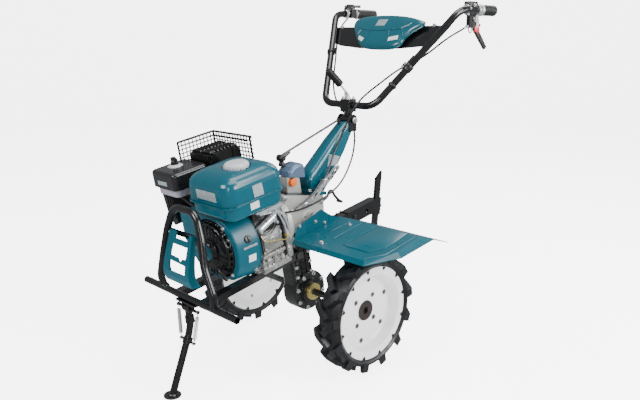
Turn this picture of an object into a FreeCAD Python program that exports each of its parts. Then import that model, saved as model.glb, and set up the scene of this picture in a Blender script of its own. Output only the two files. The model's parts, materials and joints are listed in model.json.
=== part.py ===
import FreeCAD, Part
import math, os

# Walk-behind rotary tiller on transport wheels, resting on its front stand.
# Units mm.  +Z up, +X the machine's left side, -Y the front, +Y the handlebar end.
# "Machine frame": origin on the axle centre, level with the engine bed.  The
# machine is parked nose-down, so that frame is turned by NOSE_DOWN about the axle.
# "Parked frame": Z = 0 is the ground, Y = 0 is the axle line.

V = FreeCAD.Vector

# ---- driving dimensions -------------------------------------------------
NOSE_DOWN = 10.0          # deg, engine bed slope when parked on the stand
R_TYRE = 209.0            # tyre outside radius over the lugs (4.00-8 size)
R_FLANGE = 161.5          # rim flange radius
TRACK_HALF = 307.0        # wheel mid-plane from the machine mid-plane
RIM_HALF = 38.0           # rim half width over the flanges
TYRE_HALF = 46.0          # tyre half width
DISH = 37.0               # depth of the outer disc dish
R_DISC_HOLE = 7.5         # holes in the wheel disc
R_HUB = 35.0
HEX_AF = 23.0             # axle hexagon across flats
R_CASE = 74.0             # round axle case
AXLE_STUB = 62.0          # axle flange outer face from mid-plane
CROSS_Y, CROSS_Z = -499.0, 309.0   # front cross tube centre, parked frame
CROSS_HALF = 247.0
TUBE_CROSS = 11.0         # cross tube radius
TUBE_LOOP = 12.0          # bumper loop tube radius
TUBE_BAR = 13.0           # handlebar tube radius
RAIL_X0, RAIL_X1 = 52.0, 84.0
RAIL_Z0, RAIL_Z1 = 168.0, 190.0
CRANK_Z = 304.0           # crankshaft height, machine frame
Y_MOUTH = -342.0          # fan shroud front plane
Y_SHROUD = -257.0         # fan shroud rear plane
Y_PTO = -98.0             # engine drive-side face
GRIP_X, GRIP_Z = 297.0, 1211.0
GRIP_Y0, GRIP_Y1 = 612.0, 730.0
R_GRIP = 20.5
TILT_Y, TILT_Z = 236.0, 813.0      # handlebar height pivot, parked frame
BAR_Y, BAR_Z = 241.0, 868.0        # middle of the bar's bottom run
STAND_Y, STAND_Z = -503.0, 277.0   # stand pivot
FOOT_Y = -577.0
STAKE_TOP_Y, STAKE_TOP_Z = 427.5, 590.0
STAKE_LEAN = 5.4         # deg, drag stake lean from the vertical
Y_SHIFT = -64.5           # brings the origin to the middle of the bounding box

os.makedirs("parts", exist_ok=True)

TAU = math.radians(NOSE_DOWN)
nodes = {}


def m2w(x, y, z):
    """machine frame point -> parked frame point"""
    return (x, y * math.cos(TAU) - z * math.sin(TAU),
            y * math.sin(TAU) + z * math.cos(TAU) + R_TYRE)


def w2m(x, y, z):
    z = z - R_TYRE
    return (x, y * math.cos(TAU) + z * math.sin(TAU), -y * math.sin(TAU) + z * math.cos(TAU))


def place_m(s):
    m = FreeCAD.Placement(V(0, 0, R_TYRE), FreeCAD.Rotation(V(1, 0, 0), NOSE_DOWN))
    t = s.copy()
    t.Placement = m.multiply(t.Placement)
    return t


def unplace_m(s):
    m = FreeCAD.Placement(V(0, 0, R_TYRE), FreeCAD.Rotation(V(1, 0, 0), NOSE_DOWN)).inverse()
    t = s.copy()
    t.Placement = m.multiply(t.Placement)
    return t


def box(x0, x1, y0, y1, z0, z1):
    return Part.makeBox(x1 - x0, y1 - y0, z1 - z0, V(x0, y0, z0))


def cyl(p0, p1, r):
    a, b = V(*p0), V(*p1)
    d = b.sub(a)
    return Part.makeCylinder(r, d.Length, a, d)


def cone(p0, p1, r0, r1):
    a, b = V(*p0), V(*p1)
    d = b.sub(a)
    return Part.makeCone(r0, r1, d.Length, a, d)


def tube(p0, p1, ro, ri):
    return cyl(p0, p1, ro).cut(cyl(p0, p1, ri))


def prism(pts3, vec):
    w = Part.makePolygon([V(*p) for p in pts3] + [V(*pts3[0])])
    return Part.Face(w).extrude(V(*vec))


def poly_x(pts, x0, x1):
    return prism([(x0, y, z) for y, z in pts], (x1 - x0, 0, 0))


def poly_y(pts, y0, y1):
    return prism([(x, y0, z) for x, z in pts], (0, y1 - y0, 0))


def poly_z(pts, z0, z1):
    return prism([(x, y, z0) for x, y in pts], (0, 0, z1 - z0))


def fillet(s, r, pick=None):
    es = [e for e in s.Edges if pick is None or pick(e)]
    if not es:
        print("no edges picked", r)
        return s
    try:
        f = s.makeFillet(r, es)
        if f.isValid() and f.Volume > 0:
            return f
    except Exception:
        pass
    print("fillet skipped", r, len(es))
    return s


def soften(s, radii, pick):
    """largest of the radii that the edges take"""
    for r in radii:
        es = [e for e in s.Edges if pick(e)]
        try:
            f = s.makeFillet(r, es)
            if f.isValid() and f.Volume > 0:
                return f
        except Exception:
            pass
    print("soften skipped", radii, len(es))
    return s


def rounded_rect(x0, x1, y0, y1, z, r):
    """closed wire, corners rounded"""
    k = r * (1 - math.sqrt(0.5))
    E = [Part.makeLine(V(x0 + r, y0, z), V(x1 - r, y0, z)),
         Part.Arc(V(x1 - r, y0, z), V(x1 - k, y0 + k, z), V(x1, y0 + r, z)).toShape(),
         Part.makeLine(V(x1, y0 + r, z), V(x1, y1 - r, z)),
         Part.Arc(V(x1, y1 - r, z), V(x1 - k, y1 - k, z), V(x1 - r, y1, z)).toShape(),
         Part.makeLine(V(x1 - r, y1, z), V(x0 + r, y1, z)),
         Part.Arc(V(x0 + r, y1, z), V(x0 + k, y1 - k, z), V(x0, y1 - r, z)).toShape(),
         Part.makeLine(V(x0, y1 - r, z), V(x0, y0 + r, z)),
         Part.Arc(V(x0, y0 + r, z), V(x0 + k, y0 + k, z), V(x0 + r, y0, z)).toShape()]
    return Part.Wire(E)


def sheet_solid(pts, faces, rim, t=2.5):
    """folded sheet: faces index the upper points, rim is its outline"""
    up = [V(*p) for p in pts]
    dn = [V(p[0], p[1], p[2] - t) for p in pts]
    F = []
    for f in faces:
        F.append(Part.Face(Part.makePolygon([up[i] for i in f] + [up[f[0]]])))
        F.append(Part.Face(Part.makePolygon([dn[i] for i in f[::-1]] + [dn[f[-1]]])))
    for i in range(len(rim)):
        a, b = rim[i], rim[(i + 1) % len(rim)]
        F.append(Part.Face(Part.makePolygon([dn[a], dn[b], up[b], up[a], dn[a]])))
    sol = Part.makeSolid(Part.makeShell(F))
    if sol.Volume < 0:
        sol.reverse()
    return sol


def along(e, axis, tol=1e-3):
    if e.Curve.TypeId != "Part::GeomLine":
        return False
    d = e.tangentAt(e.FirstParameter)
    return abs(abs([d.x, d.y, d.z][axis]) - 1) < tol


def near(e, axis, val, tol=0.05):
    b = e.BoundBox
    lo = (b.XMin, b.YMin, b.ZMin)[axis]
    hi = (b.XMax, b.YMax, b.ZMax)[axis]
    return abs(lo - val) < tol and abs(hi - val) < tol


def wire_rounded(pts, radii, report=None):
    """open wire of straight runs with tangent arcs at the inner points"""
    P = [V(*p) for p in pts]
    edges = []
    start = P[0]
    for i in range(1, len(P) - 1):
        a = P[i - 1].sub(P[i])
        b = P[i + 1].sub(P[i])
        la, lb = a.Length, b.Length
        a.normalize()
        b.normalize()
        ang = a.getAngle(b)
        if abs(math.pi - ang) < 1e-4:
            edges.append(Part.makeLine(start, P[i]))
            start = P[i]
            continue
        if radii is None:
            r = 0.45 * min(la, lb) * math.tan(ang / 2.0)
        else:
            r = radii[i - 1] if isinstance(radii, (list, tuple)) else radii
        if report is not None:
            report.append(r)
        t = r / math.tan(ang / 2.0)
        p1 = P[i].add(V(a).multiply(t))
        p2 = P[i].add(V(b).multiply(t))
        bis = V(a).add(b)
        bis.normalize()
        c = P[i].add(V(bis).multiply(r / math.sin(ang / 2.0)))
        m = c.sub(V(bis).multiply(r))
        if start.sub(p1).Length > 1e-6:
            edges.append(Part.makeLine(start, p1))
        edges.append(Part.Arc(p1, m, p2).toShape())
        start = p2
    edges.append(Part.makeLine(start, P[-1]))
    return Part.Wire(edges)


def pipe(pts, radii, r, ri=None, report=None):
    w = wire_rounded(pts, radii, report)
    d = V(*pts[1]).sub(V(*pts[0]))

    def sweep(rad):
        prof = Part.Wire([Part.makeCircle(rad, V(*pts[0]), d)])
        return w.makePipeShell([prof], True, True)
    s = sweep(r)
    if ri:
        s = s.cut(sweep(ri))
    return s


def cable(name, pts, r, frame="w"):
    """control cable: straight runs and the largest tangent arcs they allow"""
    rep = []
    w = wire_rounded(pts, None, rep)
    s = pipe(pts, None, r)
    print("cable %-18s length %.0f  radii %s  volume ratio %.4f" % (
        name, w.Length, " ".join("%.0f" % q for q in rep), s.Volume / (math.pi * r * r * w.Length)))
    put(name, s, frame)


def hexprism(x0, x1, af, y=0.0, z=0.0):
    r = af / math.sqrt(3.0)
    pts = [(y + r * math.cos(math.radians(60 * k + 30)),
            z + r * math.sin(math.radians(60 * k + 30))) for k in range(6)]
    return poly_x(pts, x0, x1)


def rev_x(pts):
    """revolve (x, r) polygon about the X axis through the origin"""
    w = Part.makePolygon([V(x, 0, r) for x, r in pts] + [V(pts[0][0], 0, pts[0][1])])
    return Part.Face(w).revolve(V(0, 0, 0), V(1, 0, 0), 360)


def put(name, s, frame="m"):
    if frame == "m":
        s = place_m(s)
    elif frame == "a":            # axle frame: only lifted to the axle height
        s = s.copy()
        s.translate(V(0, 0, R_TYRE))
    nodes[name] = s


def facet(pts, t=2.5):
    """flat sheet piece: pts is the outer face, thickened away from its normal"""
    a, b, c = V(*pts[0]), V(*pts[1]), V(*pts[2])
    n = b.sub(a).cross(c.sub(a))
    n.normalize()
    return prism(pts, (-n.x * t, -n.y * t, -n.z * t))


def mirror(s):
    return s.mirror(V(0, 0, 0), V(1, 0, 0))


def both(s):
    return s.fuse(mirror(s))



# ---- wheels -------------------------------------------------------------
T = TRACK_HALF
hub_face = T + RIM_HALF - DISH
tyre_pts = [(T - 34.5, 155.0), (T - 34.5, R_FLANGE + 1), (T - 42, R_FLANGE + 3), (T - TYRE_HALF, 178),
            (T - TYRE_HALF, 190), (T - 43, 200), (T - 30, R_TYRE - 2), (T - 20, R_TYRE), (T + 20, R_TYRE),
            (T + 30, R_TYRE - 2), (T + 43, 200),
            (T + TYRE_HALF, 190), (T + TYRE_HALF, 178), (T + 42, R_FLANGE + 3), (T + 34.5, R_FLANGE + 1),
            (T + 34.5, 155.0)]
rim_pts = [(T - 30, R_HUB - 7), (T - 30, 122), (T - 38, 148), (T - RIM_HALF, R_FLANGE),
           (T - 35, R_FLANGE), (T - 35, 155), (T + 35, 155), (T + 35, R_FLANGE), (T + RIM_HALF, R_FLANGE),
           (T + RIM_HALF, 136), (T + 35, 134), (T + 20, 130.5), (hub_face + 2, 127), (hub_face - 3, 120),
           (hub_face - 3, R_HUB - 7)]
for side, sgn in (("left", 1), ("right", -1)):
    f = (lambda s: s) if sgn > 0 else mirror
    put("tyre_" + side, f(rev_x(tyre_pts)), "a")
    rim = rev_x(rim_pts)
    for k in range(4):
        a = math.radians(50 + 90 * k)
        rim = rim.cut(cyl((T - 60, 60 * math.cos(a), 60 * math.sin(a)), (T + 60, 60 * math.cos(a), 60 * math.sin(a)), R_DISC_HOLE))
    for k in range(6):
        a = math.radians(21 + 60 * k)
        rim = rim.cut(cyl((T - 60, 107.5 * math.cos(a), 107.5 * math.sin(a)), (T + 60, 107.5 * math.cos(a), 107.5 * math.sin(a)), R_DISC_HOLE))
    put("rim_" + side, f(rim), "a")
    hub = cyl((T - 62, 0, 0), (hub_face, 0, 0), R_HUB - 7)
    hub = hub.fuse(cyl((hub_face - 3, 0, 0), (hub_face + 2, 0, 0), R_HUB)).removeSplitter()
    hub = hub.cut(hexprism(T - 70, T + 70, HEX_AF))
    put("hub_" + side, f(hub), "a")
    put("axle_shaft_" + side, f(hexprism(AXLE_STUB + 0.5, hub_face - 14, HEX_AF)), "a")

# ---- axle case, gear housing -------------------------------------------
case = cyl((-26, 0, 0), (42, 0, 0), R_CASE)
case = fillet(case, 5)
case = case.fuse(cyl((-52, 0, 0), (52, 0, 0), 46))
neck = box(-34, 34, -62, 36, 20, 205)
neck = fillet(neck, 14, lambda e: along(e, 2))
case = case.fuse(neck)
case = case.fuse(box(-88, 88, -78, -50, RAIL_Z0, RAIL_Z1))
case = case.fuse(box(-50, 50, -74, 50, 195, 205)).removeSplitter()
put("gearcase", case)
put("axle_flanges", both(cyl((52, 0, 0), (AXLE_STUB, 0, 0), 31)))


def deck(y):
    """height of the sloping top of the gear housing"""
    return 401 - 0.354 * (y + 69)


house = poly_x([(-86, 205), (-96, 262), (-96, 300), (-72, 401), (-69, 401), (124, deck(124)), (112, 205)], -50, 50)
house = fillet(house, 26, lambda e: e.CenterOfMass.y < -40 and abs(abs(e.CenterOfMass.x) - 50) < 1e-3 and e.CenterOfMass.z < 399 and e.CenterOfMass.z > 206)
house = fillet(house, 12, lambda e: e.CenterOfMass.y > 112 and abs(abs(e.CenterOfMass.x) - 50) < 1e-3 and 206 < e.CenterOfMass.z < 330)
put("gear_housing", house)
bell = cyl((0, Y_PTO, CRANK_Z), (0, -76, CRANK_Z), 92)
bell = bell.common(box(-120, 120, -200, 0, 206, 372)).cut(house)
bell = max(bell.Solids, key=lambda q: q.Volume)
put("bell_housing", bell)
boss = poly_x([(-22, deck(-22)), (44, deck(44)), (44, 429), (-12, 447)], -20, 20)
boss = soften(boss, (8, 5), lambda e: abs(abs(e.CenterOfMass.x) - 20) < 1e-3 and e.BoundBox.ZLength > 30)
dome = poly_x([(-14, 443), (57, 421.8), (59, 470), (50, 476), (30, 477), (10, 472), (-8, 460)], -34, 34)
dome = soften(dome, (12, 9, 6, 4), lambda e: e.CenterOfMass.z > 446)
put("selector_cover", dome.fuse(boss).removeSplitter())
plug = cyl((20, 2, 420), (36, 2, 420), 14)
plug = fillet(plug, 2.5, lambda e: near(e, 0, 36))
put("oil_plug", plug)

# ---- engine -------------------------------------------------------------
crank = box(-96, 94, Y_SHROUD, Y_PTO, 194, 384)
crank = fillet(crank, 34, lambda e: along(e, 1) and e.CenterOfMass.z > 300)
crank = fillet(crank, 8, lambda e: along(e, 1) and e.CenterOfMass.z < 250)
crank = crank.fuse(box(-104, 104, -240, -118, 190, 202))
crank = crank.fuse(cyl((80, -180.5, 373), (111, -180.5, 373), 6.5)).removeSplitter()
put("crankcase", crank)
cylh = box(-216, -96, -248, -118, 262, 402)
cylh = fillet(cylh, 10, lambda e: along(e, 1))
put("cylinder_head", cylh)
sh = cone((0, Y_MOUTH, CRANK_Z), (0, Y_SHROUD, CRANK_Z), 119, 129)
sh = sh.fuse(poly_y([(-90, 204), (-120, 230), (-168, 300), (-168, 396), (-120, 420), (0, 424), (0, 204)], Y_MOUTH, Y_SHROUD))
sh = sh.common(box(-170, 140, Y_MOUTH, Y_SHROUD, 204, 424)).removeSplitter()
sh = soften(sh, (9, 7, 5), lambda e: near(e, 1, Y_MOUTH) and e.Curve.TypeId == "Part::GeomCircle")
sh = sh.cut(cyl((0, Y_MOUTH - 5, CRANK_Z), (0, Y_MOUTH + 60, CRANK_Z), 101.5))
put("fan_shroud", sh)
rec = cyl((0, -362, CRANK_Z), (0, Y_MOUTH + 60, CRANK_Z), 90)
rec = fillet(rec, 16, lambda e: near(e, 1, -362))
rec = rec.fuse(cyl((0, -377, CRANK_Z), (0, -360, CRANK_Z), 36)).removeSplitter()
put("recoil_starter", rec)
# fuel tank: lower pan, seam flange, crowned upper half
TX0, TX1, TY0, TY1, TZ = -60.0, 163.0, -373.0, -141.0, 476.0
pan = box(TX0 + 6, TX1 - 6, TY0 + 6, TY1 - 6, 427, TZ)
pan = fillet(pan, 36, lambda e: along(e, 2))
pan = fillet(pan, 18, lambda e: near(e, 2, 427))
crown = [(476, 0, 40), (520, 1.2, 40), (532, 2.5, 40), (541, 5, 40), (548, 9, 40), (554, 15, 39), (560, 24, 37),
         (565, 35, 34), (569, 48, 30), (572, 66, 24)]
slices = [rounded_rect(TX0 + d, TX1 - d, TY0 + d, TY1 - d, z, r) for z, d, r in crown]
top = Part.makeLoft(slices, True, True)
print("tank top", top.isValid(), top.Volume, top.BoundBox)
fl = box(TX0 - 5, TX1 + 5, TY0 - 5, TY1 + 5, TZ - 2, TZ + 2)
fl = fillet(fl, 44, lambda e: along(e, 2))
capx, capy = 80.0, -261.0
tank = pan.fuse(top).fuse(fl)
tank = tank.cut(cyl((capx, capy, 558), (capx, capy, 640), 45))
put("fuel_tank", tank)
cap = cyl((capx, capy, 558), (capx, capy, 584), 39.5)
put("fuel_cap", fillet(cap, 4, lambda e: near(e, 2, 584)))
ac = box(-262, -121, -367, -224, 486, 543)
ac = fillet(ac, 18, lambda e: along(e, 2))
ac = fillet(ac, 12, lambda e: near(e, 2, 543))
ac = ac.fuse(cyl((-210, -298, 540), (-210, -298, 570), 8)).removeSplitter()
put("air_cleaner", ac)
acb = box(-250, -131, -357, -234, 460, 486)
acb = fillet(acb, 16, lambda e: along(e, 2))
put("air_cleaner_base", acb)
carb = poly_y([(-250, 460), (-186, 460), (-186, 356), (-206, 344), (-232, 362)], -346, -266)
put("intake_duct", carb)
muf = box(-224, -100, -222, -100, 440, 572)
muf = fillet(muf, 22, lambda e: along(e, 0))
muf = muf.fuse(cyl((-150, -160, 402), (-150, -160, 460), 17)).removeSplitter()
put("muffler", muf)
mg = box(-264, -262, -242, -84, 486, 602).fuse(box(-264, -44, -86, -84, 486, 602))
mg = mg.fuse(box(-46, -44, -98, -84, 486, 602)).removeSplitter()
mg = mg.fuse(box(-200, -180, -110, -85, 500, 512)).cut(muf).removeSplitter()
mg = max(mg.Solids, key=lambda q: q.Volume)
put("muffler_guard", mg)

# ---- front frame --------------------------------------------------------
ry0 = w2m(0, CROSS_Y, CROSS_Z)
rail = box(RAIL_X0, RAIL_X1, ry0[1], -50.2, RAIL_Z0, RAIL_Z1)
cross_cut = unplace_m(cyl((-300, CROSS_Y, CROSS_Z), (300, CROSS_Y, CROSS_Z), TUBE_CROSS))
rail = rail.cut(cross_cut)
rail = rail.cut(box(RAIL_X0 - 1, RAIL_X1 + 5, -78.0, -49, RAIL_Z0 - 1, RAIL_Z1 + 1))
for side, sx in (("left", 1), ("right", -1)):
    put("frame_rail_" + side, rail if sx > 0 else mirror(rail))
ct = tube((-CROSS_HALF, CROSS_Y, CROSS_Z), (CROSS_HALF, CROSS_Y, CROSS_Z), TUBE_CROSS, TUBE_CROSS - 2.5)
ctb = cyl((-300, CROSS_Y, CROSS_Z), (300, CROSS_Y, CROSS_Z), TUBE_CROSS)
put("cross_tube", ct, "w")
loop_pts = [(-134, CROSS_Y, 309), (-145, -506, 352), (-110, -512, 440), (-92, -505, 520), (-60, -499, 598),
            (60, -499, 598), (92, -505, 520), (110, -512, 440), (145, -506, 352), (134, CROSS_Y, 309)]
loop = pipe(loop_pts, [40, 120, 200, 54, 54, 200, 120, 40], TUBE_LOOP)
loop = loop.cut(ctb)
loop = loop.cut(box(-300, 300, -600, -400, 200, 309))
loop = max(loop.Solids, key=lambda q: q.Volume)
GPROF = [(-530, 366), (-540, 388), (-542, 405), (-538, 437), (-531, 467), (-523, 497), (-515, 528)]


def strip(x0, x1, off0, off1, k0=0, k1=None):
    """strip of the front guard between two offsets behind its front profile"""
    pr = GPROF[k0:k1]
    n = float(len(pr) - 1)
    back = [(y + off0 + (off1 - off0) * i / n, z) for i, (y, z) in enumerate(pr)]
    return poly_x(pr + back[::-1], x0, x1)


def guard_half_width(z):
    return 72.0 - 12.0 * (z - 366.0) / 162.0


gd = strip(-72, 72, 3.0, 3.0)
flank = strip(0, 80, 30.0, 16.0)
inner = strip(-1, 80, 31.0, 17.0)
tri_out = prism([(0, -600, 366), (72, -600, 366), (60, -600, 528), (0, -600, 528)], (0, 200, 0))
tri_in = prism([(-1, -600, 360), (69, -600, 360), (57, -600, 530), (-1, -600, 530)], (0, 200, 0))
gd = gd.common(tri_out.fuse(mirror(tri_out)))
for pts in ([(-38, 406), (48, 406), (47, 436), (-38, 440)],
            [(-34, 454), (8, 452), (14, 444), (22, 444), (28, 452), (46, 454), (45, 490), (-33, 490)],
            [(-24, 507), (44, 507), (43, 540), (-22, 540)]):
    gd = gd.cut(prism([(x, -600, z) for x, z in pts], (0, 200, 0)))
fk = flank.common(tri_out).cut(tri_in)
gd = gd.fuse(both(fk)).removeSplitter()
put("front_guard", gd, "w")
gb = box(-96, 96, -500.0, -495.0, 508, 524)
gb = gb.cut(loop).cut(gd)
loop = loop.fuse(max(gb.Solids, key=lambda q: q.Volume)).removeSplitter()
put("bumper_loop", loop, "w")
# ---- column, head -------------------------------------------------------
plate_t = 12.0
ca = math.atan(0.354)
cb = poly_x([(62, deck(62)), (140, deck(140)), (140 + plate_t * math.sin(ca), deck(140) + plate_t * math.cos(ca)),
             (62 + plate_t * math.sin(ca), deck(62) + plate_t * math.cos(ca))], -42, 42)
put("column_base", cb)
off = plate_t / math.cos(ca)
col = poly_x([(72, deck(72) + off), (84, 412), (127, 440), (223, 503), (311, 554), (346, 537), (274, 457),
              (183, 376), (136, deck(136) + off)], -60, 60)
ax, az = 0.810, 0.586


def on_axis(s, x, n):
    return (x, 100 + ax * s - az * n, 380 + az * s + ax * n)


w0, w1 = 37.0, 26.0
tap = prism([on_axis(-60, -w0, -200), on_axis(-60, w0, -200), on_axis(330, w1, -200), on_axis(330, -w1, -200)],
            (0, -az * 400, ax * 400))
col = col.common(tap)
col = soften(col, (15, 12, 9, 6), lambda e: e.Length > 60 and abs(e.CenterOfMass.x) > 20 and e.CenterOfMass.z - 0.66 * e.CenterOfMass.y > 345 and e.CenterOfMass.y < 300)
tilt_m = w2m(0, TILT_Y, TILT_Z)
col = col.cut(cyl((-60, tilt_m[1], tilt_m[2]), (60, tilt_m[1], tilt_m[2]), 22.5))
ears = both(box(26.5, 31.5, TILT_Y - 22, TILT_Y + 18, 771, 806).fuse(cyl((26.5, TILT_Y, TILT_Z), (31.5, TILT_Y, TILT_Z), 21)))
col = col.cut(unplace_m(ears))
col = max(col.Solids, key=lambda q: q.Volume)
put("column", col)
yoke = ears.fuse(cyl((31.5, TILT_Y, TILT_Z), (38, TILT_Y, TILT_Z), 9))
yoke = yoke.fuse(cyl((-36, TILT_Y, TILT_Z), (-31.5, TILT_Y, TILT_Z), 9)).removeSplitter()
yoke = yoke.cut(cyl((-26.6, TILT_Y, TILT_Z), (26.6, TILT_Y, TILT_Z), 8.05))
yoke = yoke.fuse(cyl((-27, TILT_Y, TILT_Z), (27, TILT_Y, TILT_Z), 8)).removeSplitter()
put("column_head", yoke, "w")
BLOCK_Z = 843.0
hd = cyl((-25.8, TILT_Y, TILT_Z), (25.8, TILT_Y, TILT_Z), 16.5)
hd = hd.fuse(cyl((0, BAR_Y, TILT_Z), (0, BAR_Y, 853.5), 11.95)).removeSplitter()
hd = hd.cut(cyl((-40, TILT_Y, TILT_Z), (40, TILT_Y, TILT_Z), 8.05))
put("bar_swivel", hd, "w")
cl = box(-24, 24, BAR_Y - 21, BAR_Y + 21, BLOCK_Z, 889)
cl = fillet(cl, 5, lambda e: along(e, 2))
cl = cl.cut(cyl((-100, BAR_Y, BAR_Z), (100, BAR_Y, BAR_Z), TUBE_BAR))
cl = cl.cut(cyl((0, BAR_Y, 800), (0, BAR_Y, 855), 12.0))
put("bar_clamp", cl, "w")
lv = pipe([(0, 238, 889), (0, 241, 906), (-20, 222, 940), (-30, 199, 966)], [8, 20], 4.5)
lv = lv.fuse(cyl((0, 238, 889), (0, 239.4, 897), 9))
lv = lv.cut(cl)
lv = max(lv.Solids, key=lambda q: q.Volume)
put("lock_lever", lv, "w")
kn = cyl((-20.5, 220.9, 941.4), (-41, 173.9, 994.6), 12.5)
put("lock_lever_grip", fillet(kn, 3).cut(lv), "w")
sr = cyl((-20, 10, 510), (-3, 290, 563), 4.0)
sr = sr.fuse(cyl((-3, 292, 567), (-3, 298, 545), 6))
sr = sr.fuse(Part.makeSphere(11, V(-20, 5, 501)))
sr = sr.fuse(cyl((-20, 8, 470), (-20, 5, 501), 6)).cut(dome).cut(col)
sr = max(sr.Solids, key=lambda q: q.Volume)
put("shift_rod", sr)

# ---- linkage on the near side of the column ------------------------------
lk = poly_x([(207, 406), (208, 420), (197, 427), (160, 406), (112, 389), (66, 363), (20, 345), (11, 335), (14, 322), (28, 319),
             (76, 339), (124, 362), (170, 384)], 52, 55)
for (ya, za), (yb, zb) in (((194, 413), (168, 398)), ((152, 390), (118, 374)), ((88, 357), (56, 342))):
    dy, dz = yb - ya, zb - za
    L = math.hypot(dy, dz)
    ny, nz = -dz / L * 4, dy / L * 4
    lk = lk.cut(poly_x([(ya + ny, za + nz), (yb + ny, zb + nz), (yb - ny, zb - nz), (ya - ny, za - nz)], 40, 60))
lk = lk.fuse(cyl((28, 135, 383), (52.5, 135, 383), 6)).fuse(cyl((49, 34, 332), (52.5, 34, 332), 7))
lk = lk.cut(col).cut(house)
put("link_bar", max(lk.Solids, key=lambda q: q.Volume))
eg = pipe([(30, 112, 300), (30, 156, 312), (30, 176, 340), (30, 196, 300), (30, 217, 272)], [20, 12, 20], 5)
eg = eg.fuse(cyl((18, 216, 273), (42, 216, 273), 5.5)).cut(house)
put("engage_lever", max(eg.Solids, key=lambda q: q.Volume))

# ---- handlebar ----------------------------------------------------------
bar_pts = [(-GRIP_X, GRIP_Y1, GRIP_Z), (-306, 497, 1210), (-122, BAR_Y, BAR_Z), (122, BAR_Y, BAR_Z),
           (306, 497, 1210), (GRIP_X, GRIP_Y1, GRIP_Z)]
hb = pipe(bar_pts, [70, 62, 62, 70], TUBE_BAR)
put("handlebar", hb, "w")
slope = math.degrees(math.atan2(1210 - BAR_Z, 497 - BAR_Y))


def bar_plane(s):
    """local X = X, local Y = up the bar, local Z = square to the bar plane (front/up side)"""
    q = s.copy()
    m = FreeCAD.Placement(V(0, BAR_Y, BAR_Z), FreeCAD.Rotation(V(1, 0, 0), slope))
    q.Placement = m.multiply(q.Placement)
    return q


# the cross plate lies on the operator's side of the tubes, the console on its front
PLATE_N = -TUBE_BAR
pl = [(-250, 288), (-204, 276), (-100, 265), (100, 265), (204, 276), (250, 288), (285, 367), (-285, 367)]
put("cross_plate", bar_plane(poly_z(pl, PLATE_N - 2.5, PLATE_N)), "w")
cons = poly_z([(-126, 307), (-112, 283), (-98, 265), (-60, 254), (60, 254), (98, 265), (112, 283), (126, 307),
               (139, 330), (162, 354), (172, 368), (150, 384), (80, 395), (-80, 395), (-150, 384), (-172, 368),
               (-162, 354), (-139, 330)], PLATE_N, 18)
cons = soften(cons, (12, 9, 6), lambda e: near(e, 2, 18))
put("console_cover", bar_plane(cons), "w")
for side, sx in (("left", 1), ("right", -1)):
    gr = cyl((sx * GRIP_X, GRIP_Y0, GRIP_Z), (sx * GRIP_X, GRIP_Y1 + 4, GRIP_Z), R_GRIP)
    gr = fillet(gr, 5)
    put("grip_" + side, gr.cut(hb), "w")
# hand controls
cbk = box(284, 310, 556, 600, 1190, 1233)
cbk = fillet(cbk, 8, lambda e: along(e, 1))
cbk = cbk.fuse(box(290, 304, 560, 588, 1146, 1192)).cut(hb).removeSplitter()
put("clutch_bracket", max(cbk.Solids, key=lambda q: q.Volume), "w")
clv = poly_x([(590, 1196), (604, 1196), (606, 1156), (628, 1140), (690, 1078), (680, 1068), (612, 1128), (590, 1146)], 292, 302)
put("clutch_lever", clv.cut(hb).cut(cbk), "w")
thr = box(-312, -282, 568, 600, 1194, 1228).fuse(box(-302, -292, 556, 596, 1228, 1250)).cut(hb)
put("throttle_bracket", max(thr.removeSplitter().Solids, key=lambda q: q.Volume), "w")

# ---- fenders ----------------------------------------------------------------
FZ = 250.0
P = [(92, -97.5, 240), (414, -97.5, 240), (408, -85, FZ), (92, -85, FZ), (481, 5, 240), (458, 17, FZ),
     (484, 174, 236), (455, 144, FZ), (92, 144, FZ), (484, 254, 192), (92, 254, 192)]
fen = sheet_solid(P, [(3, 2, 5, 7, 8), (0, 1, 2, 3), (1, 4, 5), (1, 5, 2), (4, 6, 7), (4, 7, 5), (7, 6, 9), (8, 7, 9, 10)],
                  [0, 1, 4, 6, 9, 10, 8, 3])
fen = fen.fuse(poly_x([(-85, FZ - 2.5), (-62, 288), (59, 309), (110, 265), (144, FZ - 2.5)], 89.5, 92)).removeSplitter()
print("fender solids", len(fen.Solids), fen.isValid())
fen = max(fen.Solids, key=lambda q: q.Volume)
put("fender_left", fen)
put("fender_right", mirror(fen))
fb = box(-112, 112, 120, 134, 236, 246).cut(house)
fb = fb.fuse(both(box(49.9, 96, -52, -38, 237, 247))).fuse(both(box(94, 106, -52, 134, 238, 247.4)))
put("fender_brackets", fb.cut(house).cut(fen).cut(mirror(fen)))

# ---- hitch, drag stake -------------------------------------------------------


def stake_frame(s):
    m = FreeCAD.Placement(V(0, STAKE_TOP_Y, STAKE_TOP_Z), FreeCAD.Rotation(V(1, 0, 0), -STAKE_LEAN))
    q = s.copy()
    q.Placement = m.multiply(q.Placement)
    return q


hold = box(-10, 10, -19, 19, -178, -108).cut(box(-6.1, 6.1, -14.6, 14.6, -300, 0))
hold_w = stake_frame(hold)
outer_w = stake_frame(box(-10, 10, -19, 19, -178, -108))
hit = box(-20, 20, 36, 436, 150, 203).cut(box(-15.5, 15.5, 130, 500, 140, 198.5))
hit = hit.cut(house).cut(case).cut(unplace_m(outer_w)).cut(unplace_m(stake_frame(box(-30, 30, -19, 80, -400, 0))))
hit = max(hit.Solids, key=lambda q: q.Volume)
hit = hit.cut(cyl((-40, 372, 176), (40, 372, 176), 8.0))
put("hitch_bracket", hit)
stk = poly_x([(-14.5, -30), (14.5, 0), (14.5, -430), (-14.5, -430)], -6, 6)
put("stake_holder", hold_w, "w")
put("drag_stake", stake_frame(stk), "w")

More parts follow.
